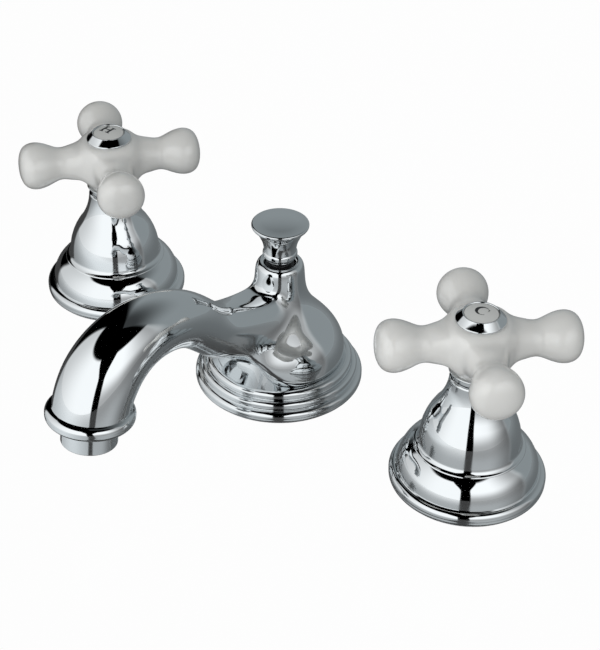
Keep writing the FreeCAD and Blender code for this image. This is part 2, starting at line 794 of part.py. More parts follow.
def cross_handle(name, x, turn):
    """The porcelain cross: a hub, and four arms that swell to a bulb and flow into it."""
    body = new_body(name, x, turn)
    hub = [
        ("0", HUB_FOOT),
        ("hub_foot_radius", HUB_FOOT),
        ("hub_radius", "arm_height - 2", "hub_foot_radius + 2.6", f"{HUB_FOOT} + 4"),
        ("hub_top_radius", "hub_top", "smooth"),
        ("0", "hub_top"),
    ]
    profile = drawing(body, "XZ_Plane", hub)
    # The hub's seam stands between two arms, clear of theirs.
    profile.AttachmentOffset = Placement(Vector(), Rotation(Vector(0, 1, 0), 45))
    feature(body, "Revolution", profile, "hub")
    arm = [
        ("0", "arm_height"),
        ("0", "arm_height + arm_root_radius"),
        ("7", "arm_height + arm_root_radius"),
        ("arm_waist_reach - 3.8", "arm_height + arm_waist_radius + 0.45"),
        ("arm_waist_reach + 4.2", "arm_height + arm_waist_radius + 0.77", "smooth"),
        ("arm_bulb_reach - 4.3", "arm_height + arm_bulb_radius - 0.75"),
        ("arm_bulb_reach", "arm_height + arm_bulb_radius", "smooth"),
        ("arm_length - 3.8", "arm_height + arm_bulb_radius * 0.866", "smooth"),
        ("arm_length", "arm_height", "dome", "arm_height"),
    ]
    sketch = drawing(body, "XZ_Plane", arm, axis=(("0", "arm_height"), ("arm_length", "arm_height")))
    first = feature(body, "Revolution", sketch, "arm", axis="Axis0")
    pattern = body.newObject("PartDesign::PolarPattern", f"{name}_arms")
    pattern.Originals = [first]
    pattern.Axis = ([f for f in body.Origin.OriginFeatures if f.Role == "Z_Axis"][0], [""])
    pattern.Angle = 360
    pattern.Occurrences = 4
    body.Tip = pattern
    doc.recompute()
    return body


def handle_bores(body):
    hollow = [
        ("0", HUB_FOOT),
        ("ferrule_spigot_radius + fit_gap", HUB_FOOT),
        ("ferrule_spigot_radius + fit_gap", f"{SPIGOT_TOP} + fit_gap"),
        ("insert_radius + fit_gap", f"{SPIGOT_TOP} + fit_gap"),
        ("insert_radius + fit_gap", "insert_top"),
        ("cap_socket_radius", "insert_top"),
        ("cap_socket_radius", "hub_top"),
        ("0", "hub_top"),
    ]
    bored(body, hollow)


def soften_roots(body):
    """Rounds the edges where the arms leave the hub. They are the only free-form ones."""
    cross = body.Tip
    seams = [f"Edge{place}" for place, edge in enumerate(cross.Shape.Edges, start=1)
             if not edge.Degenerated and edge.Curve.TypeId == "Part::GeomBSplineCurve"]
    fillet = body.newObject("PartDesign::Fillet", f"{body.Name}_roots")
    fillet.Base = (cross, seams)
    fillet.setExpression("Radius", bound("arm_fillet"))
    doc.recompute()


def index_ring(name, x):
    """The plated cap ring that holds the marker."""
    steps = [
        ("marker_radius - 1.2", "hub_top - cap_spigot_height"),
        ("cap_socket_radius - 0.1", "hub_top - cap_spigot_height"),
        ("cap_socket_radius - 0.1", "hub_top"),
        ("cap_radius - 0.3", "hub_top"),
        ("cap_radius", "hub_top + 0.5"),
        ("cap_face_radius", "hub_top + cap_height"),
        ("marker_radius + fit_gap", "hub_top + cap_height"),
        ("marker_radius + fit_gap", "hub_top + cap_height - marker_height"),
        ("marker_radius - 1.2", "hub_top + cap_height - marker_height"),
    ]
    turned(name, steps, x)


def index_disc(name, x):
    """The domed marker that carries the hot or cold letter."""
    foot = "hub_top + cap_height - marker_height"
    top = "hub_top + cap_height + marker_crown"
    steps = [
        ("0", foot),
        ("marker_radius", foot),
        ("marker_radius", "hub_top + cap_height"),
        ("0", top, "dome"),
    ]
    turned(name, steps, x)


# ---- spout base ----

def spout_flange():
    """The stepped base: three rounded rings, one inside and above the other."""
    first, second, third = ("flange_radius", "flange_radius - flange_step", "flange_radius - 2 * flange_step")
    steps = [
        (f"{first} - flange_wall - 1", "gasket_height"),
        (f"{first} - 0.6", "gasket_height"),
        (f"{second} - 0.6", "first_ring_top", first, "(gasket_height + first_ring_top) / 2 - 0.2"),
        (f"{third} - 0.8", "second_ring_top", second, "(first_ring_top + second_ring_top) / 2 + 0.1"),
        (f"{third} - 3", "flange_top", third, "(second_ring_top + flange_top) / 2"),
        ("flange_bore", "flange_top"),
        ("flange_bore", "flange_top - flange_wall"),
        (f"{third} - 3", "flange_top - flange_wall"),
        (f"{first} - flange_wall - 2.5", "first_ring_top"),
        (f"{first} - flange_wall - 1", "first_ring_top - 1.5"),
    ]
    turned("spout_flange", steps)


# ---- spout body ----

def on_path(body, path, edge, place, radius, tall=None, drop="0"):
    """A section of the arm, square to its path: a circle, or an ellipse where it is taller than wide.
    The place on an edge runs from 0 at the base's end to 1 at the outlet's."""
    curve = path.Shape.Edges[edge - 1]
    ends = [curve.valueAt(parameter) for parameter in (curve.FirstParameter, curve.LastParameter)]
    sketch = body.newObject("Sketcher::SketchObject", f"{body.Name}_section")
    sketch.AttachmentSupport = [(path, f"Edge{edge}")]
    sketch.MapMode = "NormalToEdge"
    sketch.MapPathParameter = place if ends[0].y > ends[1].y else 1 - place
    sketch.recompute()
    pen = Pen(sketch)
    if tall is None:
        pen.circle("0", "0", radius)
        pen.finish()
        return sketch
    # The section's own axes may point either way, so up is looked for among them.
    upward = sketch.Placement.Rotation.inverted().multVec(Vector(0, 0, 1))
    along_y = abs(upward.y) > abs(upward.x)
    sign = "-" if (upward.y if along_y else upward.x) > 0 else ""
    centre = ("0", f"{sign}{drop}") if along_y else (f"{sign}{drop}", "0")
    spot = Vector(value(centre[0]), value(centre[1]), 0)
    wide, high = value(radius), value(tall)
    major = Vector(0, 1, 0) if along_y else Vector(1, 0, 0)
    minor = Vector(-major.y, major.x, 0)
    index = sketch.addGeometry(Part.Ellipse(spot + major * high, spot + minor * wide, spot), False)
    sketch.exposeInternalGeometry(index)
    pen.pin(index, 3, centre)
    lines = [k for k, part in enumerate(sketch.Geometry) if part.TypeId == "Part::GeomLineSegment"]
    pen.add(Sketcher.Constraint("Vertical" if along_y else "Horizontal", lines[0]))
    pen.add(Sketcher.Constraint("Distance", lines[0], high * 2), f"2 * {tall}")
    pen.add(Sketcher.Constraint("Distance", lines[1], wide * 2), f"2 * {radius}")
    pen.finish()
    return sketch


def arm_path(body, name):
    """The arm's centre line, from the outlet over the crest to the base."""
    sketch = new_sketch(body, "YZ_Plane")
    sketch.Label = name
    pen = Pen(sketch)
    pen.outline([
        ("-spout_reach", "outlet_face"),
        ("-spout_reach", "outlet_face + 1"),
        ("-crest_reach", "crest_height", "smooth"),
        ("-rise_reach", "rise_height", "smooth"),
        ("-path_start", "path_start_height", "smooth"),
    ], closed=False)
    pen.finish()
    doc.recompute()
    return sketch


def spout_body():
    body = new_body("spout_body")
    bulb = [
        ("0", "flange_top - flange_wall"),
        ("flange_bore - 0.3", "flange_top - flange_wall"),
        ("flange_bore - 0.3", "flange_top"),
        ("foot_radius", "flange_top"),
        ("bulb_end_radius", "bulb_end_height", "bulb_radius", "bulb_height"),
        ("collar_radius + 0.3", "collar_foot", "smooth"),
        ("collar_radius", "collar_top - 3.6"),
        ("collar_mouth_radius + 1.2", "collar_top", "collar_radius - 0.7", "collar_top - 1.2"),
        ("collar_mouth_radius", "collar_top - 0.8"),
        ("0", "collar_top - 0.8"),
    ]
    feature(body, "Revolution", drawing(body, "XZ_Plane", bulb), "bulb")
    # The bulb is drawn in under the arm, so that the base shows there.
    hollow = rings(body, "XY_Plane", ("0", "-relief_reach", "relief_radius"), height="relief_top")
    feature(body, "Pocket", hollow, "relief", length="relief_top - flange_top")
    path = arm_path(body, "arm_path")
    rise = "(arm_start_radius + arm_rise_radius) / 2"
    crest = "(arm_rise_radius + arm_crest_radius) / 2"
    bend = "(arm_crest_radius + arm_bend_radius) / 2 + 0.2"
    # Each section: the path's edge, the place on it, the half width, and the half height and drop if oval.
    sections = [on_path(body, path, *section) for section in (
        (4, 0.0, "root_half_width", "root_half_height", "root_drop"),
        (4, 0.14, "flare_half_width", "flare_half_height", "flare_drop"),
        (4, 0.27, "throat_half_width", "throat_half_height", "throat_drop"),
        (4, 0.45, "arm_start_radius"),
        (4, 0.72, rise),
        (3, 0.0, "arm_rise_radius"),
        (3, 0.5, crest),
        (2, 0.0, "arm_crest_radius"),
        (2, 0.33, bend),
        (2, 0.66, "arm_bend_radius"),
        (1, 0.0, "arm_end_radius"),
        (1, 1.0, "arm_end_radius"),
    )]
    loft = feature(body, "AdditiveLoft", sections[0], "arm")
    loft.Sections = sections[1:]
    loft.Ruled = False
    doc.recompute()
    # The bead round the outlet.
    middle = (("-spout_reach", "outlet_face"), ("-spout_reach", "outlet_face + bead_height"))
    bead = [
        ("-spout_reach - aerator_radius - 1", "outlet_face"),
        ("-spout_reach - arm_end_radius - 0.2", "outlet_face"),
        ("-spout_reach - arm_end_radius + 1.2", "outlet_face + bead_height",
         "-spout_reach - bead_radius", "outlet_face + bead_height * 0.45"),
        ("-spout_reach - aerator_radius - 1", "outlet_face + bead_height"),
    ]
    feature(body, "Revolution", drawing(body, "YZ_Plane", bead, axis=middle), "bead", axis="Axis0")
    # The waterway: it leaves the chamber, follows the arm and ends above the outlet's thread.
    start = on_path(body, path, 4, 0.0, "waterway_radius")
    feature(body, "SubtractivePipe", start, "waterway", Spine=(path, ["Edge4", "Edge3", "Edge2", "Edge1"]))
    mouth = [
        ("-spout_reach", "outlet_face"),
        ("-spout_reach - aerator_thread_radius - fit_gap", "outlet_face"),
        ("-spout_reach - aerator_thread_radius - fit_gap", "outlet_face + aerator_thread_height + 2"),
        ("-spout_reach - waterway_radius", "outlet_face + aerator_thread_height + 4"),
        ("-spout_reach", "outlet_face + aerator_thread_height + 4"),
    ]
    feature(body, "Groove", drawing(body, "YZ_Plane", mouth, axis=middle), "mouth", axis="Axis0")
    chamber = [
        ("0", "flange_top - flange_wall"),
        ("tail_radius + fit_gap", "flange_top - flange_wall"),
        ("tail_radius + fit_gap", "shank_top"),
        ("chamber_radius", "shank_top"),
        ("chamber_radius", "chamber_top"),
        ("tube_radius + fit_gap", "chamber_top + 3"),
        ("tube_radius + fit_gap", "tube_top"),
        ("bushing_spigot_radius + fit_gap", "tube_top"),
        ("bushing_spigot_radius + fit_gap", "bushing_seat"),
        ("collar_mouth_radius", "bushing_seat"),
        ("collar_mouth_radius", "collar_top"),
        ("0", "collar_top"),
    ]
    bored(body, chamber, "chamber")


# ---- outlet fittings ----

def at_outlet(body):
    body.setExpression("Placement.Base.y", bound("-spout_reach"))
    doc.recompute()


def aerator():
    foot = "outlet_face - aerator_length"
    housing = turned("aerator_housing", [
        ("aerator_mouth", foot),
        ("aerator_radius - 0.6", foot),
        ("aerator_radius", f"{foot} + 0.6"),
        ("aerator_radius", "outlet_face"),
        ("aerator_thread_radius", "outlet_face"),
        ("aerator_thread_radius", "outlet_face + aerator_thread_height"),
        ("aerator_bore", "outlet_face + aerator_thread_height"),
        ("aerator_bore", f"{foot} + aerator_lip"),
        ("aerator_mouth", f"{foot} + aerator_lip"),
    ])
    at_outlet(housing)
    low = f"{foot} + aerator_lip"
    insert = ring("aerator_insert", "0", "aerator_bore - fit_gap", low, f"{low} + straightener_height")
    for count, reach in ((12, "aerator_bore * 0.72"), (6, "aerator_bore * 0.36")):
        hole = rings(insert, "XY_Plane", (reach, "0", "1.1"), height=f"{low} + straightener_height")
        pocket = feature(insert, "Pocket", hole, f"hole_{count}", length="straightener_height")
        pattern = insert.newObject("PartDesign::PolarPattern", f"aerator_holes_{count}")
        pattern.Originals = [pocket]
        pattern.Axis = ([f for f in insert.Origin.OriginFeatures if f.Role == "Z_Axis"][0], [""])
        pattern.Angle = 360
        pattern.Occurrences = count
        insert.Tip = pattern
        doc.recompute()
    at_outlet(insert)
    top = "outlet_face + aerator_thread_height"
    at_outlet(ring("aerator_washer", "aerator_bore - 1.5", "aerator_thread_radius", top, f"{top} + 2"))


# ---- lift rod and knob ----

def lift_knob():
    foot = "bushing_boss_top + run_gap"
    body = turned("lift_knob", [
        ("0", foot),
        ("knob_foot_radius - 0.3", foot),
        ("knob_foot_radius", f"{foot} + 0.3"),
        ("knob_foot_radius + 0.3", f"{foot} + 1.2"),
        ("knob_foot_radius + 0.5", f"{foot} + knob_bead_height - 1"),
        ("knob_waist_radius", f"{foot} + knob_bead_height + 1",
         "knob_bead_radius", f"{foot} + knob_bead_height"),
        ("knob_waist_radius", f"{foot} + knob_waist_height"),
        ("knob_radius - 0.5", f"{foot} + knob_height - 0.8",
         "knob_waist_radius + 1.65", f"{foot} + knob_waist_height + 6"),
        ("knob_radius - 0.6", f"{foot} + knob_height + 0.5", "knob_radius", f"{foot} + knob_height"),
        ("0", f"{foot} + knob_height + knob_crown", "dome"),
    ])
    socket = [("0", foot), ("rod_radius + fit_gap", foot),
              ("rod_radius + fit_gap", f"{foot} + knob_height / 2"), ("0", f"{foot} + knob_height / 2")]
    bored(body, socket, "socket")
    turned("lift_rod", [
        ("0", "rod_bottom"),
        ("rod_radius - 0.4", "rod_bottom"),
        ("rod_radius", "rod_bottom + 0.4"),
        ("rod_radius", f"{foot} + knob_height / 2"),
        ("0", f"{foot} + knob_height / 2"),
    ])


def rod_bushing():
    bore = "rod_radius + fit_gap"
    turned("rod_bushing", [
        (bore, "tube_top + 0.2"),
        ("bushing_spigot_radius", "tube_top + 0.2"),
        ("bushing_spigot_radius", "bushing_seat"),
        ("collar_mouth_radius - fit_gap", "bushing_seat"),
        ("collar_mouth_radius - fit_gap", "bushing_flange_top"),
        ("bushing_boss_radius", "bushing_flange_top"),
        ("bushing_boss_radius", "bushing_boss_top"),
        (bore, "bushing_boss_top"),
    ])


# ---- tee below the spout ----

SEAL_LOW = "shank_bottom - 2"
COLLAR_LOW = f"{SEAL_LOW} - tee_collar_height"


def tee():
    ring("tee_seal", "shank_bore", "tail_radius", SEAL_LOW, "shank_bottom")
    body = new_body("tee_connector")
    steps = [
        ("0", "gland_bottom"),
        ("gland_nose_radius", "gland_bottom"),
        ("gland_nose_radius", "tee_height - tee_half_height"),
        ("tee_body_radius", "tee_height - tee_half_height"),
        ("tee_body_radius", "tee_height + tee_half_height"),
        ("tee_neck_radius", "tee_height + tee_half_height"),
        ("tee_neck_radius", COLLAR_LOW),
        ("tee_collar_radius - 0.2", COLLAR_LOW),
        ("tee_collar_radius - 0.2", SEAL_LOW),
        ("0", SEAL_LOW),
    ]
    feature(body, "Revolution", drawing(body, "XZ_Plane", steps), "turned")
    middle = (("0", "tee_height"), ("tee_reach", "tee_height"))
    for side, sign in (("cold", ""), ("hot", "-")):
        stub = [
            ("0", "tee_height"),
            ("0", "tee_height + tee_shoulder_radius"),
            (f"{sign}(tee_body_radius + 2)", "tee_height + tee_shoulder_radius"),
            (f"{sign}(tee_body_radius + 2)", "tee_height + outlet_radius"),
            (f"{sign}(tee_reach - 0.7)", "tee_height + outlet_radius"),
            (f"{sign}tee_reach", "tee_height + outlet_radius - 0.7"),
            (f"{sign}tee_reach", "tee_height"),
        ]
        stub = drawing(body, "XZ_Plane", stub, axis=middle)
        feature(body, "Revolution", stub, f"{side}_stub", axis="Axis0")
    for side, sign in (("cold", ""), ("hot", "-")):
        drill = [
            ("0", "tee_height"),
            ("0", "tee_height + outlet_bore"),
            (f"{sign}tee_reach", "tee_height + outlet_bore"),
            (f"{sign}tee_reach", "tee_height"),
        ]
        cut = drawing(body, "XZ_Plane", drill, axis=middle)
        feature(body, "Groove", cut, f"{side}_drilling", axis="Axis0")
    bored(body, [
        ("0", SEAL_LOW),
        ("shank_bore - 0.8", SEAL_LOW),
        ("shank_bore - 0.8", "tee_height - tee_half_height + 2"),
        ("tube_radius + fit_gap", "tee_height - tee_half_height + 2"),
        ("tube_radius + fit_gap", "gland_bottom + 5"),
        ("tube_radius + 1.6", "gland_bottom + 5"),
        ("tube_radius + 1.6", "gland_bottom + 2.5"),
        ("tube_radius + fit_gap", "gland_bottom + 2.5"),
        ("tube_radius + fit_gap", "gland_bottom"),
        ("0", "gland_bottom"),
    ], "bore")
    low, high = "gland_bottom + 2.6", "gland_bottom + 4.9"
    turned("tee_o_ring", [
        ("tube_radius + 0.03", low),
        ("tube_radius + 1.1", low),
        ("tube_radius + 1.1", high, "tube_radius + 1.55", f"({low} + {high}) / 2"),
        ("tube_radius + 0.03", high),
    ])
    nut_top = "shank_bottom + 6"
    nut_foot = f"{nut_top} - tee_nut_height"
    nut = hex_nut("tee_nut", "spout_nut_across - 2", "tee_neck_radius + 0.2", nut_foot, nut_top)
    bored(nut, [
        ("0", f"{COLLAR_LOW} - fit_gap"),
        ("tee_collar_radius", f"{COLLAR_LOW} - fit_gap"),
        ("tee_collar_radius", SEAL_LOW),
        ("tail_radius + fit_gap", SEAL_LOW),
        ("tail_radius + fit_gap", nut_top),
        ("0", nut_top),
    ], "thread")


# ---- assembly ----

def valve(prefix, x, turn, arm_angle, start):
    ring(f"{prefix}_bell_gasket", "bell_groove_radius - bell_wall - gasket_inset",
         "bell_rim_radius - 2 * gasket_inset", "0", "gasket_height", x)
    bell(f"{prefix}_bell", x)
    valve_body(f"{prefix}_valve_body", x, turn)
    bore = "thread_radius + fit_gap"
    ring(f"{prefix}_top_washer", bore, "washer_radius - 1", "0", "fibre_height", x)
    hex_nut(f"{prefix}_top_nut", "valve_nut_across - 2", bore,
            "fibre_height", "fibre_height + top_nut_height", x)
    deck_fastenings(prefix, bore, "valve_nut_across", "nut_height", x)
    seat_seal(f"{prefix}_seat_seal", x)
    fixed_disc(f"{prefix}_fixed_disc", x, turn)
    moving_disc(f"{prefix}_moving_disc", x, turn)
    cartridge_housing(f"{prefix}_cartridge_housing", x, turn)
    cartridge_stem(f"{prefix}_cartridge_stem", x, turn, start)
    stem_o_ring(f"{prefix}_stem_o_ring", x)
    handle_ferrule(f"{prefix}_handle_ferrule", x)
    handle_insert(f"{prefix}_handle_insert", x, turn)
    handle_screw(f"{prefix}_handle_screw", x)
    handle = cross_handle(f"{prefix}_cross_handle", x, arm_angle)
    soften_roots(handle)
    handle_bores(handle)
    index_ring(f"{prefix}_index_ring", x)
    index_disc(f"{prefix}_index_disc", x)


def spout():
    ring("spout_gasket", "flange_radius - flange_wall - 3", "flange_radius - 2 * gasket_inset",
         "0", "gasket_height")
    spout_flange()
    spout_body()
    aerator()
    bore = "tail_radius + fit_gap"
    ring("spout_shank", "shank_bore", "tail_radius", "shank_bottom", "shank_top")
    deck_fastenings("spout", bore, "spout_nut_across", "(nut_height - 1)")
    ring("rod_tube", "tube_bore", "tube_radius", "gland_bottom - 2", "tube_top")
    rod_bushing()
    lift_knob()
    tee()


valve("hot", "-unit_spacing", "0", "hot_arm_angle", "-handle_travel / 2")
valve("cold", "unit_spacing", "180", "cold_arm_angle", "handle_travel / 2")
spout()
doc.recompute()

# ---- checks and export ----

for thing in doc.Objects:
    if "Invalid" in thing.State or "Error" in thing.State:
        raise RuntimeError(f"{thing.Name} failed: {thing.State}")
for name, before, after in cuts:
    if before - after < 0.5:
        raise RuntimeError(f"{name} cuts nothing")
for body in pieces:
    if body.Shape.isNull() or not body.Shape.isValid() or len(body.Shape.Solids) != 1:
        raise RuntimeError(f"{body.Label} has no single valid solid")
for body in pieces:
    body.Shape.exportStep(f"parts/{body.Label}.step")
print(len(pieces), "pieces written")
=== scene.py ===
# %% [markdown]
# # A basin tap set in chrome and porcelain
# The set has two valves with porcelain cross handles, and a low spout with a lift knob. The CAD model
# says where each piece sits, how big it is and what it moves with. It could be rendered as it is, but
# it is made of flat triangles, and polished chrome shows every one. So the CAD model is the frame, and
# each piece that shows is modelled again here with smooth surfaces. Lengths are in millimetres and are
# scaled once, by MM, because the scene is in metres.

# %% Load the frame
import json
import math

import bpy
from mathutils import Matrix, Vector


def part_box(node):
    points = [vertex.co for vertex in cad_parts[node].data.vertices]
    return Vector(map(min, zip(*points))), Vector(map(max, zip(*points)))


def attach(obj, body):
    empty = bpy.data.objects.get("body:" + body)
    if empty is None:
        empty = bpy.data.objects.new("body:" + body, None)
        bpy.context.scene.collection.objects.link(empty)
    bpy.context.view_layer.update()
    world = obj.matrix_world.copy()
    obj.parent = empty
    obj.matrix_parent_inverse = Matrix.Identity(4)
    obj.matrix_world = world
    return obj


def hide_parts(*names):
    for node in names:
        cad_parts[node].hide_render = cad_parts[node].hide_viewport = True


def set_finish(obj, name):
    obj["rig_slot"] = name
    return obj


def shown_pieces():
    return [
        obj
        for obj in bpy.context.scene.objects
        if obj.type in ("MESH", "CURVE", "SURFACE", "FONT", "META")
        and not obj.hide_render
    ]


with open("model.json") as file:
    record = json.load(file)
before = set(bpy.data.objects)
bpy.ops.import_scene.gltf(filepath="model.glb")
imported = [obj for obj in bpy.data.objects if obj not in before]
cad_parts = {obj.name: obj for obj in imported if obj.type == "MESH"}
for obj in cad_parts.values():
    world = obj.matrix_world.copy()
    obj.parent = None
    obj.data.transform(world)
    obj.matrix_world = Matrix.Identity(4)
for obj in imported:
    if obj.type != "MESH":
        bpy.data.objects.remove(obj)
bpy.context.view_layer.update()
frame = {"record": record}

MM = 0.001

# %% [markdown]
# ## Places taken from the frame
# A tap set is put together on a few axes: one through each valve, one through the spout and one through
# its outlet. These could be typed in, but a changed CAD model would then leave the new pieces behind.
# Reading them from the boxes of the CAD nodes keeps both models together. What the boxes don't say,
# such as how far each cross is turned, was measured in the photograph.


# %% Measure the frame
def span(node):
    """The lowest and highest corner of a CAD node, in millimetres."""
    low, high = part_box(node)
    return low / MM, high / MM


def axis_x(node):
    """Where the upright axis of a turned CAD node stands, from left to right."""
    low, high = span(node)
    return (low.x + high.x) / 2


VALVES = {"hot": axis_x("hot_bell"), "cold": axis_x("cold_bell")}
ARM_ANGLE = {"hot": math.radians(54.8), "cold": math.radians(48.0)}
BELL_TOP = span("hot_bell")[1].z
RIM_FOOT = BELL_TOP + 3.0
HUB_FOOT = span("hot_cross_handle")[0].z
HUB_TOP = span("hot_index_disc")[0].z - 1.7
ARM_HEIGHT = 67.7
FLANGE_TOP = span("spout_flange")[1].z
OUTLET_Y = -108.0
OUTLET_Z = span("aerator_housing")[1].z - 6.5
LEAN = math.radians(7)
KNOB_FOOT = span("lift_knob")[0].z
print("valves at", {side: round(x, 1) for side, x in VALVES.items()})
print("outlet at", OUTLET_Y, round(OUTLET_Z, 1))

# %% [markdown]
# ## Profiles with arcs
# Most of the set is turned on a lathe, and a lathe tool cuts straight lines and arcs. A profile could be
# drawn as a curve object, but a list of points is shorter and can use the heights measured above. A
# point is (radius, height). A point with four numbers is reached by an arc, and its last two numbers are
# a place that the arc passes through.


# %% Fill in the arcs
def arc_points(start, via, end, step=0.12):
    """Points on the arc from start through via to end, about one for each step in radians."""
    (ax, ay), (bx, by), (cx, cy) = start, via, end
    d = 2 * (ax * (by - cy) + bx * (cy - ay) + cx * (ay - by))
    a2, b2, c2 = ax * ax + ay * ay, bx * bx + by * by, cx * cx + cy * cy
    ux = (a2 * (by - cy) + b2 * (cy - ay) + c2 * (ay - by)) / d
    uy = (a2 * (cx - bx) + b2 * (ax - cx) + c2 * (bx - ax)) / d
    radius = math.hypot(ax - ux, ay - uy)
    angles = [math.atan2(y - uy, x - ux) for x, y in (start, via, end)]
    turn = (angles[2] - angles[0]) % math.tau
    if (angles[1] - angles[0]) % math.tau > turn:
        turn -= math.tau
    count = max(3, math.ceil(abs(turn) / step))
    return [(ux + radius * math.cos(angles[0] + turn * k / count),
             uy + radius * math.sin(angles[0] + turn * k / count)) for k in range(1, count + 1)]


def outline(steps):
    """All points of a profile, with its arcs filled in."""
    points = [steps[0]]
    for step in steps[1:]:
        points += arc_points(points[-1], step[2:], step[:2]) if len(step) == 4 else [step]
    return points


print("a quarter circle of radius 1 gets", len(outline([(1, 0), (0, 1, 0.7071, 0.7071)])), "points")

# %% [markdown]
# ## Turned pieces
# A turned piece is the same all the way round. Its surface could come from a Screw modifier, but the
# Spin operator does the same at once in edit mode, as by hand. It leaves the first and last copy of the
# profile lying on each other, so their points are merged, and only then are the faces turned outwards.
# Shading smooth by angle keeps the crisp edges of the real piece and hides the facets between them.


# %% Edit mode helpers
def new_mesh(name, points, edges=(), faces=()):
    """A new object from points in millimetres."""
    mesh = bpy.data.meshes.new(name)
    mesh.from_pydata([Vector(p) * MM for p in points], edges, faces)
    piece = bpy.data.objects.new(name, mesh)
    bpy.context.collection.objects.link(piece)
    return piece


def choose(piece):
    """Selects one object, and makes it the active one."""
    bpy.ops.object.select_all(action="DESELECT")
    piece.select_set(True)
    bpy.context.view_layer.objects.active = piece


def edit_all(piece):
    """Enters edit mode on a piece, with all of it selected."""
    choose(piece)
    bpy.ops.object.mode_set(mode="EDIT")
    bpy.ops.mesh.select_all(action="SELECT")


def face_outwards():
    """Turns all faces outwards, and leaves edit mode."""
    bpy.ops.mesh.select_all(action="SELECT")
    bpy.ops.mesh.normals_make_consistent(inside=False)
    bpy.ops.object.mode_set(mode="OBJECT")


def smooth(piece, degrees):
    """Shades a piece smooth, but for the edges that are sharper than this."""
    choose(piece)
    bpy.ops.object.shade_smooth_by_angle(angle=math.radians(degrees))


# %% Spin a profile
WELD = 0.005
CREASE = 30


def spin_round(x, y, segments, weld):
    """Spins what is selected round an upright axis, and welds the place where the turn closes."""
    bpy.ops.mesh.spin(steps=segments, angle=math.tau, center=(x * MM, y * MM, 0), axis=(0, 0, 1))
    bpy.ops.mesh.select_all(action="SELECT")
    bpy.ops.mesh.remove_doubles(threshold=weld * MM)


def turned(name, steps, x=0.0, y=0.0, segments=144, degrees=CREASE):
    """Spins a profile round an upright axis at (x, y)."""
    points = [(x + r, y, z) for r, z in outline(steps)]
    piece = new_mesh(name, points, [(k, k + 1) for k in range(len(points) - 1)])
    edit_all(piece)
    spin_round(x, y, segments, WELD)
    face_outwards()
    smooth(piece, degrees)
    return piece


def place(piece, body, slot, *nodes):
    """Ties a finished piece to its body and to the CAD nodes that it stands for."""
    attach(piece, body)
    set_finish(piece, slot)
    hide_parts(*nodes)
    print(piece.name, "rides on", body, "with", len(piece.data.polygons), "faces")
    return piece


# %% [markdown]
# ## The valve bells
# A bell is the chrome cover over a valve. From its foot up it has a rounded rim, a deep groove, a
# swelling skirt, a crease, and a tall bell that draws in to a neck. It could be pressed or cast, but
# either way it is round, so one spun profile makes it. The short step down inside the neck gives the
# edge its thickness.

# %% Bells
BELL = [
    (25.0, 0.8), (30.4, 0.8), (31.35, 3.2, 31.1, 1.5), (28.9, 6.5, 30.9, 5.6), (28.55, 6.75),
    (28.5, 7.1), (22.4, 18.0, 26.7, 13.4), (22.0, 18.5, 22.25, 18.3), (20.3, 20.9, 20.85, 19.4),
    (14.2, 37.5, 18.56, 29.73), (10.15, 50.0, 11.44, 43.52), (9.4, BELL_TOP, 10.0, BELL_TOP - 0.5),
    (8.1, BELL_TOP), (8.1, BELL_TOP - 6),
]
for side, x in VALVES.items():
    place(turned(f"{side}_valve_bell", BELL, x), "fixed_parts", "chrome", f"{side}_bell")

# %% [markdown]
# ## The ferrules
# The ferrule is the chrome ring between a bell and its porcelain hub. It could be a last step of the
# bell's profile, but it turns with the handle while the bell stands still, so it is a piece of its own.
# Its profile is closed, so the spin makes a solid ring, and a thin gap is left above the bell.

# %% Ferrules
FERRULE = [
    (8.3, BELL_TOP + 0.3), (9.1, BELL_TOP + 0.3), (9.3, BELL_TOP + 0.55), (9.3, RIM_FOOT - 0.3),
    (9.6, RIM_FOOT), (10.3, RIM_FOOT), (10.3, HUB_FOOT, 10.75, (RIM_FOOT + HUB_FOOT) / 2),
    (8.0, HUB_FOOT), (8.0, HUB_FOOT + 2.5), (5.8, HUB_FOOT + 2.5), (5.8, BELL_TOP + 1.8),
    (8.3, BELL_TOP + 1.8), (8.3, BELL_TOP + 0.3),
]
for side, x in VALVES.items():
    place(turned(f"{side}_ferrule", FERRULE, x), f"{side}_handle", "chrome", f"{side}_handle_ferrule")

# %% [markdown]
# ## Cages for flowing shapes
# The porcelain cross and the spout each flow from one form into another without a seam. Separate forms
# could be cut into each other and united, but that leaves a hard edge, and chrome and glaze show it. A
# coarse cage with a Subdivision Surface on it has no seam anywhere, so both are made that way. A
# smoothed ring ends up inside its cage by a known share, so each radius is divided by that share first.

# %% Cage helpers
SIDES = 16
PITCH = math.tau / SIDES
CAGE_WELD = 0.01
LEVELS = 3


def limit(sides):
    """How far inside its cage ring a subdivided circle ends up."""
    return (4 + 2 * math.cos(math.tau / sides)) / 6


def spun_cage(name, profile, x, start):
    """A coarse cage of SIDES columns, spun from a profile that starts in this direction."""
    points = [(x + start[0] * r / limit(SIDES), start[1] * r / limit(SIDES), z) for r, z in profile]
    piece = new_mesh(name, points, [(k, k + 1) for k in range(len(points) - 1)])
    edit_all(piece)
    spin_round(x, 0, SIDES, CAGE_WELD)
    bpy.ops.object.mode_set(mode="OBJECT")
    return piece


def subdivide(piece):
    """Smooths a cage with a Subdivision Surface, and applies it."""
    choose(piece)
    modifier = piece.modifiers.new("Subdivision", "SUBSURF")
    modifier.levels = modifier.render_levels = LEVELS
    bpy.ops.object.modifier_apply(modifier=modifier.name)
    smooth(piece, 2 * CREASE)


def tip(piece, angle, axis, centre):
    """Turns a piece's mesh about a point, and leaves its object where it is."""
    pivot = Matrix.Translation(Vector(centre) * MM)
    piece.data.transform(pivot @ Matrix.Rotation(angle, 4, axis) @ pivot.inverted())
    return piece


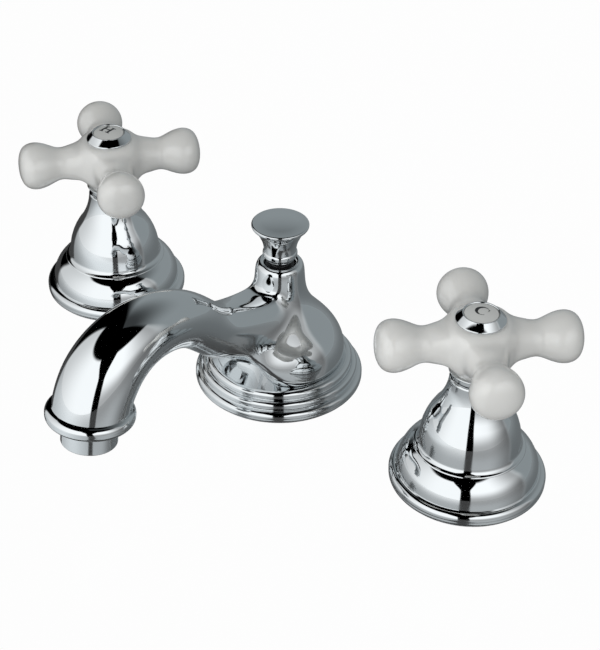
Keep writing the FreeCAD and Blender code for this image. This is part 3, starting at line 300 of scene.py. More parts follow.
print("a ring of", SIDES, "sides shrinks to", round(limit(SIDES), 4))

# %% [markdown]
# ## Selecting in code
# By hand, faces are picked with the mouse. In a script they are picked by a test on their place. The
# edge of a hole is found with Select Non Manifold, which picks every open edge, so a second test keeps
# only the loop that is wanted.


# %% Select by place
def pick_faces(piece, wanted):
    """Selects the faces whose centre passes a test, in edit mode."""
    bpy.ops.object.mode_set(mode="OBJECT")
    for group in (piece.data.vertices, piece.data.edges, piece.data.polygons):
        group.foreach_set("select", [False] * len(group))
    for face in piece.data.polygons:
        face.select = wanted(face.center / MM)
    bpy.ops.object.mode_set(mode="EDIT")
    bpy.ops.mesh.select_mode(type="FACE")


def open_edges(piece, wanted):
    """Selects the open edges whose ends both pass a test, in edit mode."""
    bpy.ops.mesh.select_mode(type="EDGE")
    bpy.ops.mesh.select_non_manifold(extend=False, use_wire=False, use_multi_face=False,
                                     use_non_contiguous=False, use_verts=False)
    bpy.ops.object.mode_set(mode="OBJECT")
    vertices = piece.data.vertices
    for edge in piece.data.edges:
        edge.select = edge.select and all(wanted(vertices[v].co / MM) for v in edge.vertices)
    kept = {v for edge in piece.data.edges if edge.select for v in edge.vertices}
    for vertex in vertices:
        vertex.select = vertex.index in kept
    bpy.ops.object.mode_set(mode="EDIT")
    bpy.ops.mesh.select_mode(type="EDGE")


# %% Extrude a loop
def set_ring(piece, centre, side, up, wide, high, low):
    """Places the chosen vertices on a ring, in their order round the loop that they come from."""
    bpy.ops.object.mode_set(mode="OBJECT")
    ring = [v for v in piece.data.vertices if v.select]
    count = len(ring)
    middle = sum((v.co for v in ring), Vector()) / count
    around = {v.index: math.atan2((v.co - middle).dot(up), (v.co - middle).dot(side)) for v in ring}
    ring.sort(key=lambda v: (around[v.index] + math.pi / count) % math.tau)
    for k, vertex in enumerate(ring):
        angle = math.tau * k / count
        rise = (high if k * 2 < count else low) * math.sin(angle)
        vertex.co = (centre + side * wide * math.cos(angle) + up * rise) * MM
    bpy.ops.object.mode_set(mode="EDIT")


def push_ring(piece, centre, side, up, wide, high=None, low=None):
    """Extrudes an open loop to a new ring. Its lower half can hang deeper than its upper half."""
    bpy.ops.mesh.select_mode(type="EDGE")
    bpy.ops.mesh.extrude_region_move()
    bpy.ops.mesh.select_mode(type="VERT")
    set_ring(piece, centre, side, up, wide, high or wide, low or high or wide)


# %% [markdown]
# ## The porcelain crosses
# A cross handle is slip cast in one piece: a domed hub with four waisted arms that end in balls, under
# one glaze. Its cage is a spun hub of 16 columns. The columns beside an arm are moved away from it, so
# that each arm gets two wide faces to grow from and a narrow valley is left between neighbours.

# %% The hub's cage
HUB_CAGE = [
    (9.6, HUB_FOOT), (9.9, HUB_FOOT + 0.3), (12.0, 58.3), (14.5, 61.0), (15.4, ARM_HEIGHT),
    (14.0, 75.3), (11.8, 77.2), (9.9, HUB_TOP + 0.6), (7.7, HUB_TOP + 0.6),
]
QUARTER = math.pi / 2
EDGE_COLUMN = math.radians(34)


def spread(angle):
    """Moves the columns beside an arm away from it, to leave a wide face for its root."""
    within = (angle + QUARTER / 2) % QUARTER - QUARTER / 2
    if abs(abs(within) - PITCH) < 0.01:
        angle += math.copysign(EDGE_COLUMN - PITCH, within)
    return angle


def hub(name, x):
    """The cage of a hub, with its columns spread."""
    piece = spun_cage(name, HUB_CAGE, x, (1, 0))
    for vertex in piece.data.vertices:
        away = vertex.co / MM - Vector((x, 0, 0))
        angle, reach = spread(math.atan2(away.y, away.x)), math.hypot(away.x, away.y)
        vertex.co = Vector((x + reach * math.cos(angle), reach * math.sin(angle), away.z)) * MM
    return piece


# %% [markdown]
# ## The arms of a cross
# The real arm thins behind its ball and grows wide again where it meets the hub. It could be spun and
# joined on, but an arm that is extruded from the hub's own faces shares its surface. The faces at the
# root are cut out, and the edge of the hole is extruded ring by ring to each radius along the arm. The
# last ring is merged into one point, and subdivision rounds the end.

# %% Grow an arm
ARM_CAGE = [
    (17.2, 7.9), (20.0, 7.1), (22.8, 7.05), (25.3, 8.1), (28.2, 9.4), (31.0, 10.2), (33.6, 10.4),
    (36.0, 9.85), (38.2, 8.4), (39.6, 5.5), (40.15, 2.4),
]
ARM_SIDES = 8
# Where an arm's root is on the hub: its heights, how far out and how far to each side.
ROOT_BOTTOM, ROOT_TOP, ROOT_OUT, ROOT_HALF = 60.9, 75.4, 9, 8
UP = Vector((0, 0, 1))


def open_root(piece, origin, ahead, side):
    """Cuts out the hub's faces where an arm leaves it, and selects the edge of the hole."""
    def root(spot):
        away = spot - origin
        return ROOT_BOTTOM < spot.z < ROOT_TOP and away.dot(ahead) > ROOT_OUT \
            and abs(away.dot(side)) < ROOT_HALF
    pick_faces(piece, root)
    bpy.ops.mesh.delete(type="FACE")
    open_edges(piece, lambda end: ROOT_BOTTOM - 1 < end.z < ROOT_TOP + 1
               and (end - origin).dot(ahead) > ROOT_OUT - 2)


def grow_arm(piece, origin, ahead):
    """Extrudes one arm of a cross, and closes its end."""
    side = Vector((-ahead.y, ahead.x, 0))
    open_root(piece, origin, ahead, side)
    for reach, radius in ARM_CAGE:
        push_ring(piece, origin + ahead * reach + UP * ARM_HEIGHT, side, UP, radius / limit(ARM_SIDES))
    bpy.ops.mesh.select_mode(type="EDGE")
    bpy.ops.mesh.extrude_region_move()
    bpy.ops.mesh.merge(type="CENTER")


# %% Crosses
def cross(name, x, turn):
    """A whole porcelain cross, turned as it stands in the photograph."""
    piece = hub(name, x)
    for quarter in range(4):
        ahead = Vector((math.cos(quarter * QUARTER), math.sin(quarter * QUARTER), 0))
        grow_arm(piece, Vector((x, 0, 0)), ahead)
    face_outwards()
    tip(piece, turn, "Z", (x, 0, 0))
    subdivide(piece)
    return piece


for side, x in VALVES.items():
    piece = place(cross(f"{side}_porcelain_cross", x, ARM_ANGLE[side]), f"{side}_handle",
                  "porcelain", f"{side}_cross_handle")
    print("it reaches", round(max(abs(v.co.x / MM - x) for v in piece.data.vertices), 2), "mm")

# %% [markdown]
# ## Index rings
# A bevelled chrome ring holds the marker in the top of each hub. Its sloping face mirrors the room, so
# the slope's small roundings at both edges matter more than its width. It is turned, with a closed
# profile that runs down inside the hub.

# %% Index rings
RING = [
    (7.2, HUB_TOP - 3), (7.4, HUB_TOP - 3), (7.4, HUB_TOP + 0.3), (9.4, HUB_TOP + 0.5),
    (9.75, HUB_TOP + 0.95, 9.7, HUB_TOP + 0.65), (9.5, HUB_TOP + 1.5, 9.7, HUB_TOP + 1.25),
    (7.35, HUB_TOP + 3.85), (6.95, HUB_TOP + 3.9, 7.2, HUB_TOP + 4.02),
    (6.72, HUB_TOP + 3.4, 6.78, HUB_TOP + 3.7), (6.72, HUB_TOP + 1.9), (7.2, HUB_TOP - 3),
]
for side, x in VALVES.items():
    place(turned(f"{side}_cap_ring", RING, x), f"{side}_handle", "chrome", f"{side}_index_ring")

# %% [markdown]
# ## Index discs
# The marker is a small pale disc, a little domed, that fills the ring. A flat disc would do from above,
# but the dome gives the soft change of tone that the real one has. Its last profile point lies on the
# axis, so the spin and the weld close it with a single point.

# %% Index discs
DOME_RISE = 4.5
DISC = [
    (6.6, HUB_TOP + 1.75), (6.6, HUB_TOP + 3.35), (6.3, HUB_TOP + 3.75, 6.52, HUB_TOP + 3.65),
    (0.0, HUB_TOP + DOME_RISE, 3.3, HUB_TOP + 4.31),
]
for side, x in VALVES.items():
    place(turned(f"{side}_marker", DISC, x), f"{side}_handle", "marker", f"{side}_index_disc")

# %% [markdown]
# ## The shapes of the letters
# Each disc has a printed serif letter, H for hot or C for cold. A Text object would need a font, and
# an image would be lost in the exported model, so the letters are drawn as faces. The H is a grid of
# which only some cells are kept. The C is a band between two arcs that come closer at its ends.


# %% The H
COLUMNS = [-2.7, -2.2, -1.2, -0.7, 0.7, 1.2, 2.2, 2.7]
ROWS = [-2.6, -2.1, -0.3, 0.3, 2.1, 2.6]
SERIFS, STEMS, BAR = (0, 1, 2, 4, 5, 6), (1, 5), (1, 2, 3, 4, 5)


def letter_h():
    """The grid of an H, from its foot up: serifs, stems, bar, stems and serifs."""
    points = [(u, v) for v in ROWS for u in COLUMNS]
    wide = len(COLUMNS)
    faces = []
    for row, cells in enumerate((SERIFS, STEMS, BAR, STEMS, SERIFS)):
        corners = [(row * wide + c, (row + 1) * wide + c) for c in cells]
        faces += [(low, low + 1, high + 1, high) for low, high in corners]
    return points, faces


print("the H has", len(letter_h()[1]), "faces")

# %% The C
BAND_STEPS = 32
BAND_FROM, BAND_SWEEP = 46, 270
OUTER_RADIUS, INNER_WIDE, INNER_HIGH, INNER_SHIFT = 2.75, 2.0, 2.4, 0.55


def letter_c():
    """The band of a C: a thick back that thins towards its ends, with a serif above the gap."""
    points = [(2.3, 1.95), (2.15, 0.5)]
    for k in range(BAND_STEPS + 1):
        angle = math.radians(BAND_FROM + BAND_SWEEP * k / BAND_STEPS)
        points += [(OUTER_RADIUS * math.cos(angle), OUTER_RADIUS * math.sin(angle)),
                   (INNER_SHIFT + INNER_WIDE * math.cos(angle), INNER_HIGH * math.sin(angle))]
    return points, [(2 * k, 2 * k + 1, 2 * k + 3, 2 * k + 2) for k in range(BAND_STEPS + 1)]


print("the C has", len(letter_c()[1]), "faces")

# %% [markdown]
# ## Laying a letter on its disc
# The letters are flat so far, and the discs are domed. A Shrinkwrap modifier could press them on, but
# the dome is so shallow that each point can simply be lowered by the dome's sag at its place. The
# letter is then extruded down into the disc, and rides on the handle, so that it turns with it.

# %% Letters
DOME_RADIUS = 28.0
INK_PROUD, INK_DEPTH = 0.05, 0.2
LETTER_TURN = math.radians(5)


def letter(side, shape, shift):
    """Lays a letter on the disc of one valve, shifted from the middle as the real one is."""
    points, faces = shape
    used = sorted({corner for face in faces for corner in face})
    spots = []
    for u, v in (points[k] for k in used):
        x = u * math.cos(LETTER_TURN) - v * math.sin(LETTER_TURN) + shift[0]
        y = u * math.sin(LETTER_TURN) + v * math.cos(LETTER_TURN) + shift[1]
        sag = (x * x + y * y) / (2 * DOME_RADIUS)
        spots.append((VALVES[side] + x, y, HUB_TOP + DOME_RISE + INK_PROUD - sag))
    piece = new_mesh(f"{side}_letter", spots, [], [[used.index(k) for k in face] for face in faces])
    edit_all(piece)
    bpy.ops.mesh.extrude_region_move(TRANSFORM_OT_translate={"value": (0, 0, -INK_DEPTH * MM)})
    face_outwards()
    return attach(piece, f"{side}_handle")


letter("hot", letter_h(), (-1.5, 0.9))
letter("cold", letter_c(), (-0.2, 0.6))
print("letters laid on discs at height", round(HUB_TOP + DOME_RISE, 1))

# %% [markdown]
# ## The line of the swan arm
# The spout's arm rises from the bulb, turns over a crest and comes down to the outlet, which leans a
# little forward. The line could be a curve object, but the handles of its points are hard to measure. A
# bent tube is a chain of arcs, so the line is three arcs through places that can be seen in the
# photograph. Each arc leaves in the direction in which the last one ended, so there is no kink.

# %% The arm's centre line
CREST, DIP, HEART = (-82, 64.8), (-50, 53.6), (-4, 40.4)
ARC_STEPS = 40


def smooth_arc(start, heading, end):
    """Centre of the arc that leaves start along heading and ends at end, in the plane of the arm."""
    side = Vector((-heading.y, heading.x))
    chord = end - start
    return start + side * (chord.dot(chord) / (2 * side.dot(chord)))


def centre_line():
    """Points of the arm's centre line as (y, z), from the outlet over the crest to the base."""
    heading = Vector((math.sin(LEAN), math.cos(LEAN)))
    outlet = Vector((OUTLET_Y, OUTLET_Z))
    knots = [outlet + heading, Vector(CREST), Vector(DIP), Vector(HEART)]
    line = [outlet, knots[0]]
    for start, end in zip(knots, knots[1:]):
        centre = smooth_arc(start, heading, end)
        spoke, last = start - centre, end - centre
        side = 1 if spoke.x * last.y - spoke.y * last.x > 0 else -1
        sweep = abs(spoke.angle_signed(last))
        for k in range(1, ARC_STEPS + 1):
            angle = math.atan2(spoke.y, spoke.x) + side * sweep * k / ARC_STEPS
            line.append(centre + Vector((math.cos(angle), math.sin(angle))) * spoke.length)
        heading = (line[-1] - line[-2]).normalized()
    return line


# %% Walk along the line
LINE = centre_line()
LENGTHS = [0.0]
for a, b in zip(LINE, LINE[1:]):
    LENGTHS.append(LENGTHS[-1] + (b - a).length)


def at(distance):
    """Point and direction at this distance along the centre line from the outlet."""
    for k in range(1, len(LINE)):
        if LENGTHS[k] >= distance or k == len(LINE) - 1:
            part = (distance - LENGTHS[k - 1]) / (LENGTHS[k] - LENGTHS[k - 1])
            return LINE[k - 1].lerp(LINE[k], part), (LINE[k] - LINE[k - 1]).normalized()


print("arm length:", round(LENGTHS[-1], 1), "crest:", round(max(p.y for p in LINE), 1))

# %% [markdown]
# ## The bulb of the spout
# The bulb, its collar and the swan arm are one casting. The bulb is round at the back, but its front is
# drawn out into the arm, with a hollow under the arm and a ridge on each side of the hollow. Sculpting
# could find that shape, but not twice the same. So the bulb is spun as a coarse cage like the hubs, and
# a table moves the few columns at its front, height by height.

# %% The bulb's tables
BULB = [
    (11.9, 12.5), (26.6, 12.5), (27.9, 12.9), (28.1, 15.5), (27.7, 19.5), (26.2, 23.6), (23.7, 27.6),
    (20.2, 31.6), (16.7, 35.3), (14.0, 38.9), (12.1, 42.6), (11.0, 46.6), (10.55, 50.6),
    (10.35, 54.0), (10.1, 56.6), (9.45, 58.3), (8.3, 59.15), (7.1, 58.9), (6.45, 58.0), (6.4, 55.2),
]
# For each height: the angle of the ridge column, then the radii of the front, middle and ridge columns.
FRONT = {
    12.5: (36.5, 14.0, 17.0, 24.8), 12.9: (36.5, 14.0, 17.0, 25.2), 15.5: (37.3, 14.5, 18.0, 28.7),
    19.5: (32.7, 16.5, 19.8, 31.0), 23.6: (29.0, 20.0, 23.0, 32.0), 27.6: (22.6, 25.5, 27.0, 32.2),
    31.6: (19.8, 31.0, 31.2, 33.4), 35.3: (24.0, 30.0, 30.0, 30.0), 38.9: (32.0, 23.0, 23.0, 23.0),
    42.6: (42.0, 16.5, 16.5, 16.5), 46.6: (40.0, 12.8, 12.4, 11.4),
}
# For each height: how much further out the column beside the ridge stands.
FLANK = {23.6: 1.03, 27.6: 1.07, 31.6: 1.12, 35.3: 1.12, 38.9: 1.08}
ROOT_LOW, ROOT_HIGH = 31.6, 46.6
# The ridge is the second column from the front. The collar's bore and the foot's inner edge stay round.
RIDGE, BORE_REACH, FOOT_REACH, FOOT_HEIGHT = 2, 9, 20, 13
print(len(BULB), "rings, of which", len(FRONT), "are drawn out at the front")


# %% Move the front
def nearest(table, z):
    """The entry of the cage ring at this height, if the table has one."""
    level = min(table, key=lambda height: abs(height - z))
    return table[level] if abs(level - z) < 0.3 else None


def bearing(x, y):
    """Angle from the front, in radians."""
    return (math.atan2(y, x) + math.pi / 2 + math.pi) % math.tau - math.pi


def move_front(off, reach, z):
    """Moves a bulb vertex to frame the hollow, its ridge and the arm's root."""
    column = round(abs(off) / PITCH)
    entry = nearest(FRONT, z)
    edge = math.radians(entry[0]) if entry else RIDGE * PITCH
    if column <= RIDGE:
        if entry and reach > BORE_REACH and (z > FOOT_HEIGHT or reach > FOOT_REACH):
            reach = entry[1 + column] / limit(SIDES)
        return math.copysign(column * edge / RIDGE, off), reach
    if column == RIDGE + 1:
        reach *= nearest(FLANK, z) or 1
    share = (column - RIDGE) / (SIDES // 2 - RIDGE)
    return math.copysign(edge + share * (math.pi - edge), off), reach


def spout_cage():
    """The bulb's cage, with its front drawn out and a hole for the arm."""
    piece = spun_cage("spout_casting", BULB, 0, (0, -1))
    pick_faces(piece, lambda c: ROOT_LOW < c.z < ROOT_HIGH and abs(bearing(c.x, c.y)) < RIDGE * PITCH)
    bpy.ops.mesh.delete(type="FACE")
    bpy.ops.object.mode_set(mode="OBJECT")
    for vertex in piece.data.vertices:
        x, y, z = vertex.co / MM
        off, reach = move_front(bearing(x, y), math.hypot(x, y), z)
        vertex.co = Vector((reach * math.sin(off), -reach * math.cos(off), z)) * MM
    return piece


# %% [markdown]
# ## The swan arm
# The arm is a tube that tapers towards the bulb, and flares where it runs into it. It is extruded
# from the hole in the bulb, ring by ring, down the line to the outlet. Each ring stands square to the
# line, and near the bulb it hangs deeper below than above, which gives the root its trumpet shape.

# %% The arm's size
ARM_RADII = [(0, 15.4), (18, 15.2), (30, 14.3), (43, 13.1), (60, 11.9), (76, 10.8), (92, 9.7), (104, 8.9)]
RINGS = 15
ROOT_GAP = 33
FLARE, FLARE_LENGTH, FLARE_SIDE = 4.6, 18, 0.25
SIDEWAYS = Vector((1, 0, 0))


def arm_radius(distance):
    """The arm's radius at a distance from the outlet, between the measured places."""
    for (d0, r0), (d1, r1) in zip(ARM_RADII, ARM_RADII[1:]):
        if distance <= d1:
            return r0 + (r1 - r0) * (distance - d0) / (d1 - d0)
    return ARM_RADII[-1][1]


print("the arm is", arm_radius(0), "mm in radius at the outlet and", arm_radius(100), "at the root")

# %% Extrude the arm
casting = spout_cage()
choose(casting)
bpy.ops.object.mode_set(mode="EDIT")
open_edges(casting, lambda c: ROOT_LOW - 1 < c.z < ROOT_HIGH + 1 and c.y < 0)
reach = LENGTHS[-1] - ROOT_GAP
for k in range(RINGS + 1):
    distance = reach * (1 - k / RINGS)
    point, ahead = at(distance)
    radius = arm_radius(distance)
    hang = FLARE * max(0, 1 - (reach - distance) / FLARE_LENGTH) ** 2
    push_ring(casting, Vector((0, point.x, point.y)), SIDEWAYS, Vector((0, -ahead.y, ahead.x)),
              (radius + hang * FLARE_SIDE) / limit(SIDES), radius / limit(SIDES),
              (radius + hang) / limit(SIDES))
face_outwards()
subdivide(casting)
print("spout faces:", len(casting.data.polygons))
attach(casting, "fixed_parts")
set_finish(casting, "chrome")
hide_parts("spout_body")

# %% [markdown]
# ## The bead at the outlet
# A rounded bead finishes the arm's edge and belongs to the same casting. It could be more rings of the
# cage, but subdivision would soften its crisp foot, so it is turned. It is then tipped forward with the
# outlet and joined to the casting, inside whose wall its open edges are hidden.

# %% The bead
BEAD = [
    (14.4, OUTLET_Z - 0.4), (15.5, OUTLET_Z - 0.7), (17.45, OUTLET_Z + 1.9, 16.95, OUTLET_Z + 0.1),
    (15.3, OUTLET_Z + 5.0, 16.95, OUTLET_Z + 4.1), (14.6, OUTLET_Z + 5.4),
]


def lean(piece):
    """Tips a piece of the outlet forward, about the middle of the outlet."""
    return tip(piece, -LEAN, "X", (0, OUTLET_Y, OUTLET_Z))


bead = lean(turned("outlet_bead", BEAD, 0, OUTLET_Y))
choose(casting)
bead.select_set(True)
bpy.ops.object.join()
print("spout faces with the bead:", len(casting.data.polygons))

# %% [markdown]
# ## The aerator
# The aerator is the short chrome sleeve that screws into the outlet, with a plastic screen inside that
# mixes air into the water. The sleeve is a closed profile. The screen's ribs are rings, so they are
# drawn as steps along its profile and turned with it, which costs far fewer faces than cut slots.

# %% Aerator and screen
AERATOR_FOOT = OUTLET_Z - 10.6
AERATOR = [
    (8.9, AERATOR_FOOT), (10.6, AERATOR_FOOT), (11.1, AERATOR_FOOT + 0.5, 10.95, AERATOR_FOOT + 0.15),
    (11.1, OUTLET_Z - 0.35), (14.9, OUTLET_Z - 0.35), (14.9, OUTLET_Z + 1.5), (9.3, OUTLET_Z + 6.4),
    (9.2, AERATOR_FOOT + 1.4), (8.9, AERATOR_FOOT + 1.2), (8.9, AERATOR_FOOT),
]
RIBS, RIB_PITCH = 6, 1.3
RIB_FOOT, RIB_TOP, SCREEN_TOP = AERATOR_FOOT + 1.6, AERATOR_FOOT + 2.6, AERATOR_FOOT + 4.0
SCREEN = [(9.0, SCREEN_TOP), (9.0, RIB_FOOT)]
for k in range(RIBS):
    SCREEN += [(8.1 - k * RIB_PITCH, RIB_FOOT), (8.0 - k * RIB_PITCH, RIB_TOP),
               (7.5 - k * RIB_PITCH, RIB_TOP), (7.4 - k * RIB_PITCH, RIB_FOOT)]
SCREEN += [(0.0, RIB_FOOT), (0.0, SCREEN_TOP), (9.0, SCREEN_TOP)]
place(lean(turned("aerator", AERATOR, 0, OUTLET_Y)), "fixed_parts", "chrome", "aerator_housing")
place(lean(turned("aerator_screen", SCREEN, 0, OUTLET_Y, 72)), "fixed_parts", "white_plastic",
      "aerator_insert")

# %% [markdown]
# ## The stepped base
# The spout stands on a chrome flange with three rounded steps, each one mirroring the table and the step
# below. Bevelled cylinders could be stacked, but the dark grooves between the steps need true arcs that
# meet in a tight corner, so the whole flange is one turned profile.

# %% The base
BASE = [
    (32.4, 0.8), (34.9, 0.8), (35.8, 2.9, 35.65, 1.5), (33.5, 5.7, 35.3, 5.0), (33.1, 5.9),
    (33.55, 7.4, 33.45, 6.4), (31.2, 9.2, 33.1, 8.8), (30.8, 9.4), (31.25, 10.8, 31.15, 9.9),
    (28.6, FLANGE_TOP, 30.8, 12.2), (12.1, FLANGE_TOP), (12.1, 10.2),
]
place(turned("stepped_base", BASE), "fixed_parts", "chrome", "spout_flange")

# %% [markdown]
# ## The lift knob and its bushing
# The knob is a small chrome trumpet on a rod, which is pulled up to work the waste. The rod runs in a
# plastic bushing in the collar, painted black: its black is painted shade, which stands for the shadow
# down in the collar's hole under the knob. Both are turned. The knob rides on the rod's body, so it
# rises with it, and the bushing stays behind with the spout.

# %% Knob and bushing
KNOB = [
    (2.45, KNOB_FOOT), (5.7, KNOB_FOOT), (6.1, KNOB_FOOT + 0.5, 6.0, KNOB_FOOT + 0.15),
    (6.35, KNOB_FOOT + 1.4), (7.2, KNOB_FOOT + 2.7, 7.0, KNOB_FOOT + 1.8),
    (6.75, KNOB_FOOT + 4.1, 7.1, KNOB_FOOT + 3.6), (8.4, KNOB_FOOT + 10.7, 7.1, KNOB_FOOT + 7.2),
    (11.3, KNOB_FOOT + 15.2, 9.55, KNOB_FOOT + 13.0), (11.9, KNOB_FOOT + 16.2, 11.75, KNOB_FOOT + 15.6),
    (11.2, KNOB_FOOT + 16.95, 11.75, KNOB_FOOT + 16.75), (0.0, KNOB_FOOT + 17.9, 5.6, KNOB_FOOT + 17.68),
]
BUSHING = [
    (2.5, 50.0), (6.3, 55.0), (6.3, 57.4), (5.9, 57.8), (3.9, 57.8), (3.6, 58.1), (3.6, 59.8),
    (3.3, 60.0), (2.45, 60.0), (2.45, 52.0),
]
place(turned("lifting_knob", KNOB), "lift_rod", "chrome", "lift_knob")
# The bushing's black finish is painted shade for the collar's hole under the knob.
place(turned("knob_bushing", BUSHING, degrees=20), "fixed_parts", "black_plastic", "rod_bushing")

# %% [markdown]
# ## Shader tools
# A finish is a small network of shader nodes. Wired by hand in a script, it takes a line for each node
# and each link, and the sum behind it can't be read. So one function adds any node, and one small class
# wraps a socket, so that a sum such as 1 - mask adds its own Math nodes.


# %% Add a node
def add_node(tree, kind, links=None, **settings):
    """Adds a node, makes its settings, then fills its sockets with values or links."""
    node = tree.nodes.new(kind)
    for name, setting in settings.items():
        setattr(node, name, setting)
    for key, item in (links or {}).items():
        if isinstance(item, Sock):
            tree.links.new(item.socket, node.inputs[key])
        else:
            node.inputs[key].default_value = item
    return node


# %% Sums on sockets
class Sock:
    """A shader socket that adds math nodes when it is used in a sum."""

    def __init__(self, node, output=0):
        self.tree, self.socket = node.id_data, node.outputs[output]

    def math(self, operation, *others, clamp=False):
        links = dict(enumerate((self, *others)))
        return Sock(add_node(self.tree, "ShaderNodeMath", links, operation=operation, use_clamp=clamp))

    def __add__(self, other):
        return self.math("ADD", other)

    def __mul__(self, other):
        return self.math("MULTIPLY", other)

    def __sub__(self, other):
        return self.math("SUBTRACT", other)

    def __rsub__(self, other):
        return self * -1 + other

    __radd__ = __add__
    __rmul__ = __mul__

    def ramp(self, low, high):
        """0 below low, 1 above high, and a smooth slope between them."""
        part = (self - low).math("DIVIDE", high - low, clamp=True)
        return part * part * (3 - 2 * part)

    def band(self, low, high, soft):
        """1 between low and high, with soft edges."""
        return self.ramp(low - soft, low + soft) * (1 - self.ramp(high - soft, high + soft))


# %% Start and end a material
def blank(name):
    """An empty material and its tree."""
    material = bpy.data.materials.new(name)
    material.use_nodes = True
    material.node_tree.nodes.clear()
    return material, material.node_tree


def show(tree, shader, kind="ShaderNodeOutputMaterial"):
    """Adds the output node, and gives it this shader."""
    add_node(tree, kind, {"Surface": Sock(shader)})


def own_place(tree):
    """The coordinates of a place on the piece itself."""
    return Sock(add_node(tree, "ShaderNodeTexCoord"), "Object")


# %% [markdown]
# ## The finishes
# Polished chrome is a metal that is almost a mirror, and glazed porcelain is a pale body that light
# sinks into, under a clear coat. Both could be one flat value, but a real finish is never quite even. So
# a soft noise on the piece's own coordinates changes its roughness a little. Object coordinates stay put
# when the piece moves, and need no unwrapping.


# %% A finish
def noise(tree, lumps):
    """Soft noise from 0 to 1, with this many lumps in a metre."""
    links = {"Vector": own_place(tree), "Scale": lumps, "Detail": 2.0}
    return Sock(add_node(tree, "ShaderNodeTexNoise", links))


def finish_of(name, colour, rough, metallic=0.0, wear=0.0, lumps=60.0, **extra):
    """A Principled material whose roughness varies by wear over the piece."""
    material, tree = blank(name)
    links = {"Base Color": (*colour, 1), "Metallic": metallic,
             "Roughness": noise(tree, lumps) * wear + (rough - wear / 2)}
    links.update((key.replace("_", " "), value) for key, value in extra.items())
    show(tree, add_node(tree, "ShaderNodeBsdfPrincipled", links))
    return material


# %% [markdown]
# ## What each piece is made of
# The pieces inside the set, such as the brass valve bodies, the steel washers and the rubber seals, keep
# their CAD shapes, and still need a finish of their own. One table holds them all. The CAD record names
# a slot for each node, and the letters, which are no CAD nodes, are painted with ink by their name.

# %% The finishes
METAL = 1.0
LOOKS = {
    "chrome": finish_of("chrome", (0.74, 0.76, 0.77), 0.05, METAL, 0.02),
    "porcelain": finish_of("porcelain", (0.765, 0.765, 0.75), 0.3, wear=0.04, lumps=30, Coat_Weight=1.0,
                           Coat_Roughness=0.14, Subsurface_Weight=0.4, Subsurface_Scale=0.004,
                           Subsurface_Radius=(1.0, 0.97, 0.93)),
    "marker": finish_of("marker", (0.66, 0.67, 0.66), 0.4, wear=0.04, lumps=80, Coat_Weight=0.2),
    "ink": finish_of("ink", (0.015, 0.015, 0.018), 0.4, wear=0.1),
    "brass": finish_of("brass", (0.60, 0.42, 0.17), 0.32, METAL, 0.12, 250),
    "steel": finish_of("steel", (0.52, 0.52, 0.53), 0.35, METAL, 0.12, 250),
    "rod_steel": finish_of("rod_steel", (0.6, 0.61, 0.62), 0.18, METAL, 0.06, 200),
    "rubber": finish_of("rubber", (0.022, 0.022, 0.023), 0.65, wear=0.15, lumps=300),
    "fibre": finish_of("fibre", (0.32, 0.06, 0.045), 0.7, wear=0.15, lumps=400),
    "clear_gasket": finish_of("clear_gasket", (0.55, 0.56, 0.57), 0.4, wear=0.1, lumps=100),
    "white_plastic": finish_of("white_plastic", (0.75, 0.75, 0.73), 0.4, wear=0.1, lumps=100),
    # black_plastic also paints the bushing under the knob, where its black is painted shade for the
    # collar's hole.
    "black_plastic": finish_of("black_plastic", (0.01, 0.01, 0.011), 0.35, wear=0.1, lumps=200),
    "ceramic": finish_of("ceramic", (0.78, 0.78, 0.76), 0.2, wear=0.06, lumps=200),
}
print(len(LOOKS), "finishes")

# %% Paint the pieces
SLOTS = {entry["node"]: entry["material_slot"] for entry in frame["record"]["subparts"]}
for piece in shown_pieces():
    printed = piece.name.endswith("_letter")
    look = "ink" if printed else piece.get("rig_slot") or SLOTS.get(piece.name, "brass")
    piece.data.materials.clear()
    piece.data.materials.append(LOOKS[look])

# %% [markdown]
# ## The floor
# The set stands on a surface that the photograph shows as plain white, with hardly a shadow, while the
# chrome mirrors a grey glossy table. No single colour does both. A Light Path node says what kind of ray
# has arrived, so the camera sees white with a trace of the shadows, the chrome sees the grey table, and
# the soft light that comes back up is that of a pale floor. The white needs no extra light.


# %% Shaders by kind of ray
def mixed(tree, share, first, second):
    """Two shaders, mixed by a share of the second."""
    return add_node(tree, "ShaderNodeMixShader", {"Fac": share, 1: Sock(first), 2: Sock(second)})


def background_mix(tree, background, rest, seen=1.0, mirrored=1.0):
    """Shows the background to the camera and in mirrors, and the other shader to the rest."""
    path = add_node(tree, "ShaderNodeLightPath")
    share = Sock(path, "Is Camera Ray") * seen + Sock(path, "Is Glossy Ray") * mirrored \
        + Sock(path, "Is Transmission Ray") * seen
    return mixed(tree, share, rest, background)


def tinted(tree, colour, amount):
    """A colour, made lighter or darker by an amount that varies."""
    return Sock(add_node(tree, "ShaderNodeVectorMath", {0: colour, "Scale": amount}, operation="SCALE"))


def degrees_round(x, y):
    """The direction of a place in degrees, from the x axis towards the y axis."""
    return y.math("ARCTAN2", x).math("DEGREES")


# %% Floor
FLOOR_SIZE, FLOOR_DROP = 6, 0.00002
FLOOR_SEEN, FLOOR_MIRRORED = 0.985, 0.06
TABLE_GREY, TABLE_GLOW = 0.36, 0.4


